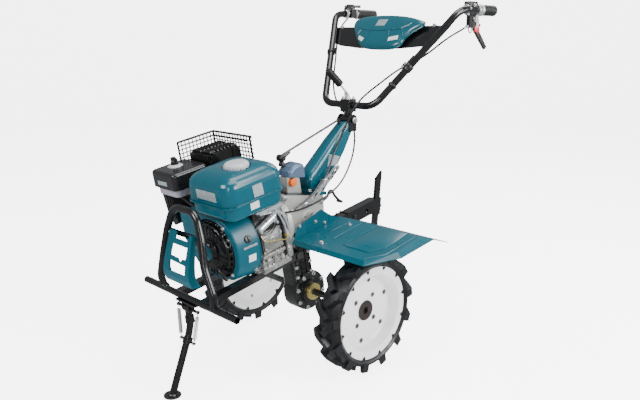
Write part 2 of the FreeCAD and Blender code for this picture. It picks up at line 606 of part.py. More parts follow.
# ---- front stand --------------------------------------------------------------
sb = box(-50, 50, STAND_Y - 12, STAND_Y + 8, 294, 300)
sb = sb.cut(cyl((-300, CROSS_Y, CROSS_Z), (300, CROSS_Y, CROSS_Z), TUBE_CROSS))
sb = sb.fuse(both(box(13, 18, STAND_Y - 12, STAND_Y + 12, 277, 295).fuse(cyl((13, STAND_Y, STAND_Z), (18, STAND_Y, STAND_Z), 12))))
sb = sb.fuse(cyl((-56, STAND_Y, STAND_Z), (56, STAND_Y, STAND_Z), 5)).removeSplitter()
put("stand_bracket", sb, "w")
lg = pipe([(0, STAND_Y, STAND_Z), (0, -496.5, 225), (0, -504.9, 189), (0, -576.6, 3)], [60, 60], 11.5)
lg = lg.fuse(cyl((0, -499.8, 250), (0, -496.8, 228), 15))
lg = lg.fuse(cyl((-12.4, STAND_Y, STAND_Z), (12.4, STAND_Y, STAND_Z), 12))
lg = lg.fuse(cyl((0, -507.5, 178), (0, -513.5, 162), 15))
lg = lg.fuse(cyl((-38, -510.5, 168), (38, -510.5, 168), 4))
lg = lg.common(box(-100, 100, -700, 0, 4.0, 400))
lg = lg.cut(cyl((-60, STAND_Y, STAND_Z), (60, STAND_Y, STAND_Z), 5.05)).removeSplitter()
lg = lg.fuse(cyl((0, FOOT_Y, 0), (0, FOOT_Y, 4), 28)).removeSplitter()
put("stand_leg", max(lg.Solids, key=lambda q: q.Volume), "w")
sp = None
for sx in (-1, 1):
    q = cyl((sx * 54, STAND_Y, STAND_Z), (sx * 35, -510.5, 168), 6.5)
    q = q.cut(cyl((-70, STAND_Y, STAND_Z), (70, STAND_Y, STAND_Z), 5.2)).cut(cyl((-60, -510.5, 168), (60, -510.5, 168), 4.05))
    q = q.cut(cyl((-60, -510.5, 168), (60, -510.5, 168), 4.05))
    q = max(q.Solids, key=lambda s: s.Volume)
    sp = q if sp is None else sp.fuse(q)
put("stand_springs", sp, "w")

# ---- control cables -------------------------------------------------------------
R_CABLE = 2.5


def spline(ctrl, step):
    """points about step apart on a smooth curve through ctrl"""
    c = Part.BSplineCurve()
    c.interpolate([V(*p) for p in ctrl])
    n = max(3, int(round(c.length() / step)) + 1)
    return [tuple(p) for p in c.discretize(n)]


def bar_pt(x, yb, zb):
    a = math.radians(slope)
    return (x, BAR_Y + yb * math.cos(a) - zb * math.sin(a), BAR_Z + yb * math.sin(a) + zb * math.cos(a))


clutch_pts = [(297, 558.6, 1152)] + [bar_pt(*q) for q in ((296, 388, -66), (291, 358, -47), (280, 326, -32), (263, 298, -27),
              (244, 272, -27), (223, 248, -27), (201, 222, -23), (183, 196, -13), (170, 168, 4), (158, 136, 18))] + [
              (141, 274, 961), (112, 236, 926),
              (80, 196, 876), (56, 178, 815), (42, 156, 760), (42, 130, 716), (46, 102, 680), (58, 76, 646), (66, 36, 612),
              (70, -20, 576), (72, -80, 550), (66, -132.4, 528.2)]
cable("clutch_cable", spline(clutch_pts, 46), R_CABLE)
throttle_pts = [(-297, 560, 1192), (-290, 512, 1160), (-272, 470, 1112), (-248, 438, 1064), (-226, 408, 1008),
                (-196, 366, 948), (-150, 324, 898), (-96, 290, 858), (-40, 280, 818), (8, 266, 778), (36, 240, 736),
                (52, 212, 686), (60, 174, 634), (66, 136, 598), (68, 94, 574), (68, 48, 556), (69, 2, 544),
                (73, -50, 538), (90, -112, 540), (102, -176, 548), (104, -235.6, 546)]
cable("throttle_cable", spline(throttle_pts, 46), R_CABLE)

for name, s in sorted(nodes.items()):
    if Y_SHIFT:
        s = s.copy()
        s.translate(V(0, Y_SHIFT, 0))
    if len(s.Solids) == 1:
        s = s.Solids[0]
    if not s.isValid():
        print("INVALID", name)
    s.exportStep("parts/%s.step" % name)
    bb = s.BoundBox
    print("%-20s %d solids %10.0f mm3  x %.1f %.1f  y %.1f %.1f  z %.1f %.1f" % (
        name, len(s.Solids), s.Volume, bb.XMin, bb.XMax, bb.YMin, bb.YMax, bb.ZMin, bb.ZMax))
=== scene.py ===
import bpy, bmesh, math, json, random
from mathutils import Vector, Matrix


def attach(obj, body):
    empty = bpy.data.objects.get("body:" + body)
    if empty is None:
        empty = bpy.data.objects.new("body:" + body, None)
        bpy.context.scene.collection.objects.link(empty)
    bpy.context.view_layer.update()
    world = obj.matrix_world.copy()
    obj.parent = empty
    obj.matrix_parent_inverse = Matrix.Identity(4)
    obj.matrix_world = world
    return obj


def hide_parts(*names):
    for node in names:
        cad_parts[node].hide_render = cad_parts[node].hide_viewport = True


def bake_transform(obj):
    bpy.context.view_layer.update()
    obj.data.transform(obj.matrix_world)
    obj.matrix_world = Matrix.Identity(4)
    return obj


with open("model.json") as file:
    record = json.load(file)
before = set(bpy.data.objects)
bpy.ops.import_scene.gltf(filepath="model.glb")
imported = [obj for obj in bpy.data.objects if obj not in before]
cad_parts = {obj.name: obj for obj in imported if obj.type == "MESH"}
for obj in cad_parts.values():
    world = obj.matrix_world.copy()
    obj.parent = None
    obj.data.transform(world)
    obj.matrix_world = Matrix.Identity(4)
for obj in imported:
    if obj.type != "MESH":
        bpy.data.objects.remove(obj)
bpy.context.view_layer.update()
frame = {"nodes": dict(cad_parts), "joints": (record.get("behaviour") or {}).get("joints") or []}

R = math.radians
RNG = random.Random(7)

# ---------------------------------------------------------------- frames
AY = [j for j in frame["joints"] if j["name"] == "wheel_left_spin"][0]["pos_m"][1] * 1000.0
RT = 209.0
CT, ST = math.cos(R(10.0)), math.sin(R(10.0))


def W(x, y, z):
    """parked frame, mm"""
    return Vector((x, y + AY, z)) * 0.001


def M(x, y, z):
    """machine frame, mm: origin on the axle, level with the engine bed"""
    return W(x, y * CT - z * ST, y * ST + z * CT + RT)


def Md(x, y, z):
    return Vector((x, y * CT - z * ST, y * ST + z * CT)).normalized()


def A(x, y, z):
    """axle frame, mm"""
    return W(x, y, z + RT)


MX, MY, MZ = Md(1, 0, 0), Md(0, 1, 0), Md(0, 0, 1)
WX, WY, WZ = Vector((1, 0, 0)), Vector((0, 1, 0)), Vector((0, 0, 1))


# ---------------------------------------------------------------- materials
def material(name, base, rough=0.4, metal=0.0, coat=0.0, coat_rough=0.08, var=0.10, vscale=7.0, rvar=0.10,
             bscale=300.0, bump=0.12, bdist=0.0002, spec=0.5, dark=None, dscale=18.0, damt=0.0, wave=None):
    m = bpy.data.materials.new(name)
    m.use_nodes = True
    nt = m.node_tree
    N, L = nt.nodes, nt.links
    b = N["Principled BSDF"]
    tc = N.new("ShaderNodeTexCoord")
    n1 = N.new("ShaderNodeTexNoise")
    n1.inputs["Scale"].default_value = vscale
    n1.inputs["Detail"].default_value = 4.0
    L.new(tc.outputs["Object"], n1.inputs["Vector"])
    cr = N.new("ShaderNodeValToRGB")
    cr.color_ramp.elements[0].position = 0.3
    cr.color_ramp.elements[1].position = 0.72
    cr.color_ramp.elements[0].color = tuple(max(0.0, c * (1 - var)) for c in base) + (1,)
    cr.color_ramp.elements[1].color = tuple(min(1.0, c * (1 + var)) for c in base) + (1,)
    L.new(n1.outputs["Fac"], cr.inputs["Fac"])
    out = cr.outputs["Color"]
    if dark is not None:
        n3 = N.new("ShaderNodeTexNoise")
        n3.inputs["Scale"].default_value = dscale
        n3.inputs["Detail"].default_value = 6.0
        n3.inputs["Roughness"].default_value = 0.65
        L.new(tc.outputs["Object"], n3.inputs["Vector"])
        r3 = N.new("ShaderNodeValToRGB")
        r3.color_ramp.elements[0].position = 0.52
        r3.color_ramp.elements[1].position = 0.70
        r3.color_ramp.elements[0].color = (0, 0, 0, 1)
        r3.color_ramp.elements[1].color = (damt, damt, damt, 1)
        L.new(n3.outputs["Fac"], r3.inputs["Fac"])
        mx = N.new("ShaderNodeMix")
        mx.data_type = "RGBA"
        L.new(r3.outputs["Color"], mx.inputs["Factor"])
        L.new(out, mx.inputs["A"])
        mx.inputs["B"].default_value = tuple(dark) + (1,)
        out = mx.outputs["Result"]
    L.new(out, b.inputs["Base Color"])
    n2 = N.new("ShaderNodeTexNoise")
    n2.inputs["Scale"].default_value = vscale * 5.0
    n2.inputs["Detail"].default_value = 3.0
    L.new(tc.outputs["Object"], n2.inputs["Vector"])
    mr = N.new("ShaderNodeMapRange")
    mr.inputs["From Min"].default_value = 0.25
    mr.inputs["From Max"].default_value = 0.75
    mr.inputs["To Min"].default_value = max(0.02, rough - rvar)
    mr.inputs["To Max"].default_value = min(1.0, rough + rvar)
    L.new(n2.outputs["Fac"], mr.inputs["Value"])
    L.new(mr.outputs["Result"], b.inputs["Roughness"])
    b.inputs["Metallic"].default_value = metal
    b.inputs["Specular IOR Level"].default_value = spec
    b.inputs["Coat Weight"].default_value = coat
    b.inputs["Coat Roughness"].default_value = coat_rough
    if bump > 0:
        n4 = N.new("ShaderNodeTexNoise")
        n4.inputs["Scale"].default_value = bscale
        n4.inputs["Detail"].default_value = 3.0
        L.new(tc.outputs["Object"], n4.inputs["Vector"])
        bp = N.new("ShaderNodeBump")
        bp.inputs["Strength"].default_value = bump
        bp.inputs["Distance"].default_value = bdist
        L.new(n4.outputs["Fac"], bp.inputs["Height"])
        L.new(bp.outputs["Normal"], b.inputs["Normal"])
    return m


TEAL = (0.0006, 0.080, 0.116)
mt = {
    "teal_paint": material("teal_paint", TEAL, 0.24, 0.0, 0.45, 0.10, 0.05, 5, 0.02, 60, 0.0, 0.0004, spec=0.38),
    "teal_shroud": material("teal_shroud", TEAL, 0.34, 0.0, 0.16, 0.24, 0.05, 5, 0.04, 60, 0.02, 0.0004, spec=0.34),
    "teal_sheet": material("teal_sheet", (0.0008, 0.076, 0.108), 0.30, 0.0, 0.20, 0.14, 0.06, 5, 0.04, 50, 0.02, 0.0004, spec=0.28),
    "teal_plastic": material("teal_plastic", (0.0015, 0.082, 0.115), 0.24, 0, 0.45, 0.08, 0.06, 6, 0.05, 140, 0.05, 0.0003),
    "black_paint": material("black_paint", (0.0050, 0.0050, 0.0055), 0.22, 0, 0.40, 0.07, 0.20, 9, 0.05, 90, 0.02, 0.0003, spec=0.48),
    "white_paint": material("white_paint", (0.90, 0.90, 0.895), 0.34, 0, 0.30, 0.15, 0.03, 6, 0.08, 120, 0.06, 0.0003,
                            dark=(0.58, 0.57, 0.54), dscale=10, damt=0.20),
    "cast_aluminium": material("cast_aluminium", (0.52, 0.51, 0.48), 0.40, 0.45, 0, 0, 0.07, 7, 0.08, 240, 0.22, 0.0005,
                               dark=(0.30, 0.29, 0.26), dscale=9, damt=0.45),
    "engine_alloy": material("engine_alloy", (0.44, 0.44, 0.42), 0.30, 0.80, 0, 0, 0.12, 10, 0.10, 240, 0.25, 0.0006,
                             dark=(0.10, 0.10, 0.09), dscale=12, damt=0.6),
    "blue_cast": material("blue_cast", (0.085, 0.135, 0.215), 0.38, 0.20, 0.20, 0.2, 0.12, 14, 0.08, 300, 0.40, 0.0005),
    "black_cast": material("black_cast", (0.0065, 0.0065, 0.007), 0.26, 0.0, 0.50, 0.12, 0.30, 16, 0.08, 140, 0.30, 0.0007,
                           dark=(0.03, 0.028, 0.025), dscale=26, damt=0.4),
    "zinc": material("zinc", (0.62, 0.63, 0.64), 0.28, 0.80, 0, 0, 0.06, 30, 0.06, 200, 0.04, 0.0001),
    "chrome": material("chrome", (0.82, 0.83, 0.84), 0.22, 0.70, 0, 0, 0.03, 30, 0.03, 200, 0.0, 0.0001),
    "yellow_zinc": material("yellow_zinc", (0.66, 0.55, 0.20), 0.28, 0.75, 0, 0, 0.10, 12, 0.06, 200, 0.05, 0.0001,
                            dark=(0.50, 0.46, 0.30), dscale=16, damt=0.5),
    "tyre_rubber": material("tyre_rubber", (0.0085, 0.009, 0.0105), 0.40, 0, 0.0, 0, 0.30, 8, 0.16, 120, 0.55, 0.0008,
                            dark=(0.028, 0.028, 0.028), dscale=12, damt=0.5),
    "grip_rubber": material("grip_rubber", (0.009, 0.009, 0.0095), 0.46, 0, 0, 0, 0.2, 20, 0.10, 500, 0.3, 0.0003),
    "black_plastic": material("black_plastic", (0.009, 0.009, 0.0095), 0.33, 0, 0.15, 0.2, 0.2, 12, 0.08, 600, 0.25, 0.0002),
    "cage_plastic": material("cage_plastic", (0.0045, 0.0045, 0.0045), 0.20, 0, 0.35, 0.1, 0.2, 12, 0.04, 200, 0.02, 0.0002),
    "grey_plastic": material("grey_plastic", (0.30, 0.31, 0.35), 0.45, 0, 0, 0, 0.06, 12, 0.08, 500, 0.2, 0.0002),
    "lid_grey": material("lid_grey", (0.012, 0.012, 0.0135), 0.27, 0, 0.30, 0.15, 0.10, 10, 0.08, 420, 0.20, 0.0002),
    "pale_plastic": material("pale_plastic", (0.52, 0.53, 0.56), 0.36, 0, 0.15, 0.25, 0.04, 12, 0.08, 400, 0.2, 0.0002),
    # grey for the painted shade inside the wheel-disc holes
    "hole_shade_grey": material("hole_shade_grey", (0.16, 0.165, 0.17), 0.45, 0, 0, 0, 0.25, 60, 0.08, 300, 0.2, 0.0002),
    "band_grey": material("band_grey", (0.30, 0.30, 0.345), 0.36, 0, 0.15, 0.25, 0.04, 12, 0.08, 400, 0.2, 0.0002),
    "orange_plastic": material("orange_plastic", (0.86, 0.15, 0.006), 0.34, 0, 0.2, 0.2, 0.06, 12, 0.06, 400, 0.2, 0.0002),
    "red_plastic": material("red_plastic", (0.62, 0.03, 0.05), 0.30, 0, 0.3, 0.2, 0.06, 12, 0.06, 400, 0.15, 0.0002),
    "dark_steel": material("dark_steel", (0.055, 0.055, 0.057), 0.33, 0.75, 0, 0, 0.18, 30, 0.10, 400, 0.2, 0.0002),
    "rod_steel": material("rod_steel", (0.045, 0.045, 0.047), 0.30, 0.55, 0, 0, 0.12, 30, 0.10, 400, 0.15, 0.0002),
    "hub_rust": material("hub_rust", (0.030, 0.023, 0.022), 0.45, 0.25, 0, 0, 0.3, 40, 0.12, 400, 0.4, 0.0004,
                         dark=(0.10, 0.032, 0.026), dscale=34, damt=0.8),
    "cable_sheath": material("cable_sheath", (0.007, 0.007, 0.0075), 0.34, 0, 0.2, 0.2, 0.15, 30, 0.08, 500, 0.1, 0.0001),
    "muffler_black": material("muffler_black", (0.0060, 0.0058, 0.0056), 0.20, 0.30, 0.4, 0.08, 0.3, 18, 0.05, 120, 0.05, 0.0004),
    "plate_silver": material("plate_silver", (0.40, 0.47, 0.50), 0.30, 0.45, 0.2, 0.2, 0.12, 60, 0.08, 300, 0.05, 0.0001),
    "plate_white": material("plate_white", (0.72, 0.73, 0.73), 0.40, 0, 0.25, 0.2, 0.03, 16, 0.08, 300, 0.05, 0.0001),
    "floor": material("floor", (0.88, 0.88, 0.88), 0.80, 0, 0, 0, 0.01, 1.5, 0.05, 30, 0.0, 0.0, spec=0.1),
}
fb = mt["floor"].node_tree.nodes["Principled BSDF"]
fb.inputs["Emission Color"].default_value = (1.0, 1.0, 1.0, 1.0)
fb.inputs["Emission Strength"].default_value = 5.0

NODE_MAT = [
    ("tyre", "tyre_rubber"), ("rim_", "white_paint"), ("hub_", "hub_rust"), ("axle_shaft", "dark_steel"),
    ("axle_flanges", "yellow_zinc"), ("gearcase", "black_cast"), ("gear_housing", "cast_aluminium"),
    ("bell_housing", "cast_aluminium"), ("crankcase", "engine_alloy"), ("cylinder_head", "engine_alloy"),
    ("selector_cover", "blue_cast"), ("oil_plug", "orange_plastic"), ("fuel_cap", "pale_plastic"),
    ("fuel_tank", "teal_paint"), ("fan_shroud", "teal_shroud"), ("fender_brackets", "black_paint"),
    ("fender_", "teal_sheet"), ("column_base", "teal_sheet"), ("column_head", "black_paint"), ("column", "teal_paint"),
    ("front_guard", "teal_sheet"), ("console_cover", "teal_plastic"), ("air_cleaner_base", "band_grey"),
    ("air_cleaner", "lid_grey"), ("intake_duct", "black_plastic"), ("recoil", "cage_plastic"), ("grip_", "grip_rubber"),
    ("lock_lever_grip", "grip_rubber"), ("lock_lever", "zinc"), ("link_bar", "zinc"), ("stand_springs", "chrome"),
    ("shift_rod", "rod_steel"), ("engage_lever", "dark_steel"), ("muffler_guard", "black_paint"),
    ("muffler", "muffler_black"), ("clutch_cable", "cable_sheath"), ("throttle_cable", "cable_sheath"),
    ("clutch_lever", "black_plastic"), ("clutch_bracket", "black_paint"), ("throttle_bracket", "black_paint"),
    ("bar_swivel", "black_paint"), ("cross_plate", "black_paint"), ("", "black_paint"),
]
for nm, ob in frame["nodes"].items():
    for pre, mk in NODE_MAT:
        if nm.startswith(pre):
            if not ob.material_slots:
                ob.data.materials.append(mt[mk])
            for sl in ob.material_slots:
                sl.material = mt[mk]
            break


class Acc:
    """gathers closed shells into one mesh piece"""

    def __init__(self):
        self.v, self.f = [], []

    def add(self, vf):
        v, f = vf
        o = len(self.v)
        self.v += [Vector(p) for p in v]
        self.f += [tuple(i + o for i in q) for q in f]
        return self

    def make(self, name, mat, body, bevel=0.0, seg=2, angle=33, rep=(), solid=0.0, ride=True, sub=0):
        me = bpy.data.meshes.new(name)
        me.from_pydata([tuple(p) for p in self.v], [], self.f)
        me.update()
        ob = bpy.data.objects.new(name, me)
        bpy.context.scene.collection.objects.link(ob)
        me.materials.append(mt[mat])
        bm = bmesh.new()
        bm.from_mesh(me)
        bmesh.ops.remove_doubles(bm, verts=bm.verts, dist=1e-7)
        bmesh.ops.recalc_face_normals(bm, faces=bm.faces)
        if bevel > 0:
            es = [e for e in bm.edges if len(e.link_faces) == 2 and e.calc_face_angle(0) > R(28)]
            bmesh.ops.bevel(bm, geom=es, offset=bevel, segments=seg, profile=0.5, affect="EDGES", clamp_overlap=True)
        bm.to_mesh(me)
        bm.free()
        if solid:
            md = ob.modifiers.new("solid", "SOLIDIFY")
            md.thickness = solid
            md.offset = 0.0
        if sub:
            md = ob.modifiers.new("sub", "SUBSURF")
            md.levels = md.render_levels = sub
        me.shade_smooth()
        me.set_sharp_from_angle(angle=R(angle))
        if rep:
            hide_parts(*rep)
        if ride:
            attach(ob, body)
        return ob


def frame_of(d):
    d = Vector(d).normalized()
    a = Vector((0, 0, 1)) if abs(d.z) < 0.9 else Vector((1, 0, 0))
    u = d.cross(a).normalized()
    return u, d.cross(u).normalized(), d


def tube(path, r, n=10, cap=True):
    """sweep of a circle; r a number or one per point; metres"""
    P = [Vector(p) for p in path]
    rs = r if isinstance(r, (list, tuple)) else [r] * len(P)
    v, f = [], []
    t0 = (P[1] - P[0]).normalized()
    u, w, _ = frame_of(t0)
    for i, p in enumerate(P):
        t = (P[min(i + 1, len(P) - 1)] - P[max(i - 1, 0)]).normalized()
        u = (u - t * u.dot(t)).normalized()
        w = t.cross(u)
        for k in range(n):
            a = 2 * math.pi * k / n
            v.append(p + (u * math.cos(a) + w * math.sin(a)) * rs[i])
    for i in range(len(P) - 1):
        for k in range(n):
            k2 = (k + 1) % n
            f.append((i * n + k, i * n + k2, (i + 1) * n + k2, (i + 1) * n + k))
    if cap:
        f.append(tuple(range(n - 1, -1, -1)))
        f.append(tuple((len(P) - 1) * n + k for k in range(n)))
    return v, f


def lathe(o, d, prof, n=32, ref=None, closed=False):
    """profile of (along, radius) in mm about the line o, d"""
    u, w, d = frame_of(d)
    v, f = [], []
    rings = []
    for a, r in prof:
        if r < 1e-6:
            rings.append([len(v)])
            v.append(o + d * a * 0.001)
        else:
            rings.append(list(range(len(v), len(v) + n)))
            for k in range(n):
                t = 2 * math.pi * k / n
                v.append(o + d * a * 0.001 + (u * math.cos(t) + w * math.sin(t)) * r * 0.001)
    pairs = list(zip(rings, rings[1:]))
    if closed:
        pairs.append((rings[-1], rings[0]))
    for p, q in pairs:
        for k in range(n):
            k2 = (k + 1) % n
            if len(p) == 1 and len(q) == 1:
                continue
            if len(p) == 1:
                f.append((p[0], q[k], q[k2]))
            elif len(q) == 1:
                f.append((p[k], p[k2], q[0]))
            else:
                f.append((p[k], p[k2], q[k2], q[k]))
    return v, f


def block(c, ex, ey, ez):
    """box: centre and three half vectors, metres"""
    v = [c + ex * a + ey * b + ez * d for a in (-1, 1) for b in (-1, 1) for d in (-1, 1)]
    f = [(0, 1, 3, 2), (4, 6, 7, 5), (0, 4, 5, 1), (2, 3, 7, 6), (0, 2, 6, 4), (1, 5, 7, 3)]
    return v, f


def mbox(x0, x1, y0, y1, z0, z1, fr=M):
    c = fr((x0 + x1) / 2, (y0 + y1) / 2, (z0 + z1) / 2)
    ax = (MX, MY, MZ) if fr is M else (WX, WY, WZ)
    return block(c, ax[0] * (x1 - x0) / 2000, ax[1] * (y1 - y0) / 2000, ax[2] * (z1 - z0) / 2000)


def prism(pts, vec):
    n = len(pts)
    v = [Vector(p) for p in pts] + [Vector(p) + Vector(vec) for p in pts]
    f = [tuple(range(n - 1, -1, -1)), tuple(range(n, 2 * n))]
    for k in range(n):
        k2 = (k + 1) % n
        f.append((k, k2, n + k2, n + k))
    return v, f


def hexbolt(p, d, af=13.0, h=6.0, washer=0.0, wh=1.6, n=6):
    """head: flats af across, chamfered top, over a washer; p on the surface, mm sizes"""
    r = af / math.sqrt(3.0)
    prof = [(-0.6, 0), (-0.6, r), (h * 0.82, r), (h, r * 0.86), (h, 0)]
    b = 0.0
    out = Acc()
    if washer:
        out.add(lathe(p, d, [(-0.6, 0), (-0.6, washer), (wh * 0.8, washer), (wh, washer * 0.95), (wh, 0)], 20))
        b = wh
    out.add(lathe(p + Vector(d).normalized() * b * 0.001, d, prof, n))
    return out.v, out.f


def nut(p, d, af=13, h=6, stud=5.0, out_=4.0):
    a = Acc()
    a.add(hexbolt(p, d, af, h, af * 0.75))
    a.add(lathe(p, d, [(0, 0), (0, stud * 0.5), (h + out_ + 1.2, stud * 0.5), (h + out_ + 1.6, stud * 0.4), (h + out_ + 1.6, 0)], 12))
    return a.v, a.f


def nurbs(pts, n=10):
    """points along the smooth curve of a route (order 3, ends met), mm in the parked frame"""
    cu = bpy.data.curves.new("route", "CURVE")
    cu.dimensions = "3D"
    sp = cu.splines.new("NURBS")
    sp.points.add(len(pts) - 1)
    for q, p in zip(sp.points, pts):
        q.co = (p[0], p[1], p[2], 1)
    sp.order_u = 3
    sp.use_endpoint_u = True
    sp.resolution_u = n
    ob = bpy.data.objects.new("route", cu)
    me = bpy.data.meshes.new_from_object(ob)
    out = [Vector(v.co) for v in me.vertices]
    bpy.data.objects.remove(ob)
    bpy.data.meshes.remove(me)
    bpy.data.curves.remove(cu)
    return out


# ---------------------------------------------------------------- camera, light, floor
cam_d = bpy.data.cameras.new("camera")
cam_d.sensor_width = 36.0
cam_d.lens = 37.2
cam_d.clip_start = 0.05
cam_d.clip_end = 60
cam = bpy.data.objects.new("camera", cam_d)
bpy.context.scene.collection.objects.link(cam)
yaw, pit = R(44.71), R(13.57)
fwd = Vector((-math.sin(yaw) * math.cos(pit), math.cos(yaw) * math.cos(pit), -math.sin(pit)))
cam.location = W(1674.318, -1599.819, 1101.411)
cam.rotation_euler = fwd.to_track_quat("-Z", "Y").to_euler()
bpy.context.scene.camera = cam

hf = Vector((fwd.x, fwd.y, 0)).normalized()
hs = Vector((hf.y, -hf.x, 0))
prof = [(-9.0, 0.0), (7.0, 0.0)]
for k in range(1, 13):
    a = R(90 * k / 12)
    prof.append((7.0 + 3.0 * math.sin(a), 3.0 - 3.0 * math.cos(a)))
prof.append((10.0, 9.0))
v, f = [], []
for s_ in (-14.0, 14.0):
    for a, z in prof:
        p = hf * a + hs * s_
        v.append((p.x, p.y, z - 0.0005))
n_ = len(prof)
for i in range(n_ - 1):
    f.append((i, i + 1, n_ + i + 1, n_ + i))
fm = bpy.data.meshes.new("floor")
fm.from_pydata(v, [], f)
fm.materials.append(mt["floor"])
fm.shade_smooth()
fl = bpy.data.objects.new("floor", fm)
bpy.context.scene.collection.objects.link(fl)
fl.visible_glossy = False
fl.visible_diffuse = False
fl.visible_shadow = False

world = bpy.data.worlds.new("world")
bpy.context.scene.world = world
world.use_nodes = True
world.node_tree.nodes["Background"].inputs["Color"].default_value = (0.96, 0.98, 1.0, 1)
world.node_tree.nodes["Background"].inputs["Strength"].default_value = 0.33


def area(name, loc, target, size, power, color=(1, 1, 1)):
    ld = bpy.data.lights.new(name, "AREA")
    ld.shape = "RECTANGLE"
    ld.size, ld.size_y = size
    ld.energy = power
    ld.color = color
    lo = bpy.data.objects.new(name, ld)
    lo.location = loc
    lo.rotation_euler = (Vector(target) - Vector(loc)).to_track_quat("-Z", "Y").to_euler()
    bpy.context.scene.collection.objects.link(lo)
    return lo


area("key", (-0.4, -3.6, 3.0), (0, 0, 0.5), (1.6, 1.5), 105)
area("side", (3.4, 0.7, 2.3), (0, 0, 0.5), (2.0, 2.0), 180)
area("top", (0.4, 0.2, 4.2), (0, 0, 0.4), (2.4, 2.4), 112)
area("back", (-1.0, 3.6, 3.2), (0, 0, 0.6), (2.0, 1.6), 60)
area("flank", (2.7, 2.4, 1.25), (0, 0, 0.45), (1.5, 1.0), 30)
area("strip", (2.4, -2.9, 1.2), (0.2, 0, 0.4), (0.3, 1.8), 22)
lo = area("bounce", (0, 0, -0.3), (0, 0, 1), (5.0, 5.0), 195)
lo.visible_glossy = False

# ================================================================ wheels
T = 307.0
NL = 13
CARC = [(-35.2, 157.5), (-36.5, 163), (-41, 166.5), (-44.6, 172), (-44.2, 178), (-39, 184), (-26, 187.5), (-9, 188.8), (9, 188.8),
        (26, 187.5), (39, 184), (44.2, 178), (44.6, 172), (41, 166.5), (36.5, 163), (35.2, 157.5)]


def carc_r(x):
    x = abs(x)
    pts = [(0, 189), (9, 188.8), (26, 187.5), (39, 184), (44.2, 178), (46, 172)]
    for (a, ra), (b, rb) in zip(pts, pts[1:]):
        if x <= b:
            return ra + (rb - ra) * (x - a) / (b - a)
    return 170.0


def top_r(x):
    x = abs(x)
    pts = [(0, 208.8), (30, 208.8), (40, 207.2), (44, 205.4), (45.8, 203.6)]
    for (a, ra), (b, rb) in zip(pts, pts[1:]):
        if x <= b:
            return ra + (rb - ra) * (x - a) / (b - a)
    return 203.4


def tyre(side, sgn):
    a = Acc()
    o = W(sgn * T, 0, RT)
    ax = WX * sgn
    v, f = lathe(o, ax, CARC, 96, closed=False)
    a.add((v, f))
    # inner band closes the carcass
    a.add(lathe(o, ax, [(-35.2, 157.5), (35.2, 157.5)], 96))
    # rim of bead line
    for s in (-1, 1):
        a.add(lathe(o, ax, [(s * 44.9, 174.6), (s * 45.3, 175.4), (s * 44.9, 176.3)], 96))

    def P(x, th, r):
        return W(sgn * (T + x), r * math.cos(th), RT + r * math.sin(th))
    for k in range(NL):
        for s in (-1, 1):
            th0 = 2 * math.pi * (k + (0.5 if s < 0 else 0.0)) / NL + R(7.5)
            sta = []
            # outer shoulder block, then the bar to past the centre
            for x, arc, hw in ((45.7, 0.0, 14.0), (41.0, 0.8, 13.6), (36, 4.5, 12.0), (24, 15.5, 11.0), (10, 30.0, 10.6),
                               (-4, 45.0, 10.2)):
                sta.append((s * x, th0 + arc / 200.0, hw))
            rings = []
            for i, (x, th, hw) in enumerate(sta):
                j0, j1 = max(i - 1, 0), min(i + 1, len(sta) - 1)
                dx = sta[j1][0] - sta[j0][0]
                da = (sta[j1][1] - sta[j0][1]) * 200.0
                ln = math.hypot(dx, da)
                nx, na = -da / ln, dx / ln
                if i < 2:
                    nx, na = 0.0, -s * 1.0
                rt, rc = top_r(x), (carc_r(x) - 3 if abs(x) < 44 else 176.0)
                ring = []
                for kx, rr in ((-1.22, rc), (-1.0, rt - 1.0), (-0.93, rt), (0.93, rt), (1.0, rt - 1.0), (1.22, rc)):
                    xx = x + nx * hw * kx
                    xx = max(-45.8, min(45.8, xx))
                    ring.append(P(xx, th + na * hw * kx / 200.0, min(rr, top_r(xx))))
                rings.append(ring)
            v, f = [], []
            for r_ in rings:
                v += r_
            m_ = 6
            for i in range(len(rings) - 1):
                for q in range(m_):
                    q2 = (q + 1) % m_
                    f.append((i * m_ + q, i * m_ + q2, (i + 1) * m_ + q2, (i + 1) * m_ + q))
            f.append(tuple(range(m_ - 1, -1, -1)))
            f.append(tuple((len(rings) - 1) * m_ + q for q in range(m_)))
            a.add((v, f))
            # foot of the lug on the side wall
            th = th0
            x = s * 45.4
            w0 = 9.5 / 200.0
            w0 = 12.5 / 200.0
            pts = [P(x - s * 2.6, th - w0, 200), P(x - s * 2.6, th + w0, 200), P(x - s * 2.6, th + w0 * 0.8, 174), P(x - s * 2.6, th - w0 * 0.8, 174)]
            a.add(prism(pts, WX * (sgn * s * 0.0024)))
    a.make("tyre_tread_" + side, "tyre_rubber", "wheel_" + side, rep=["tyre_" + side], angle=26)


HOLE_R = 107.5


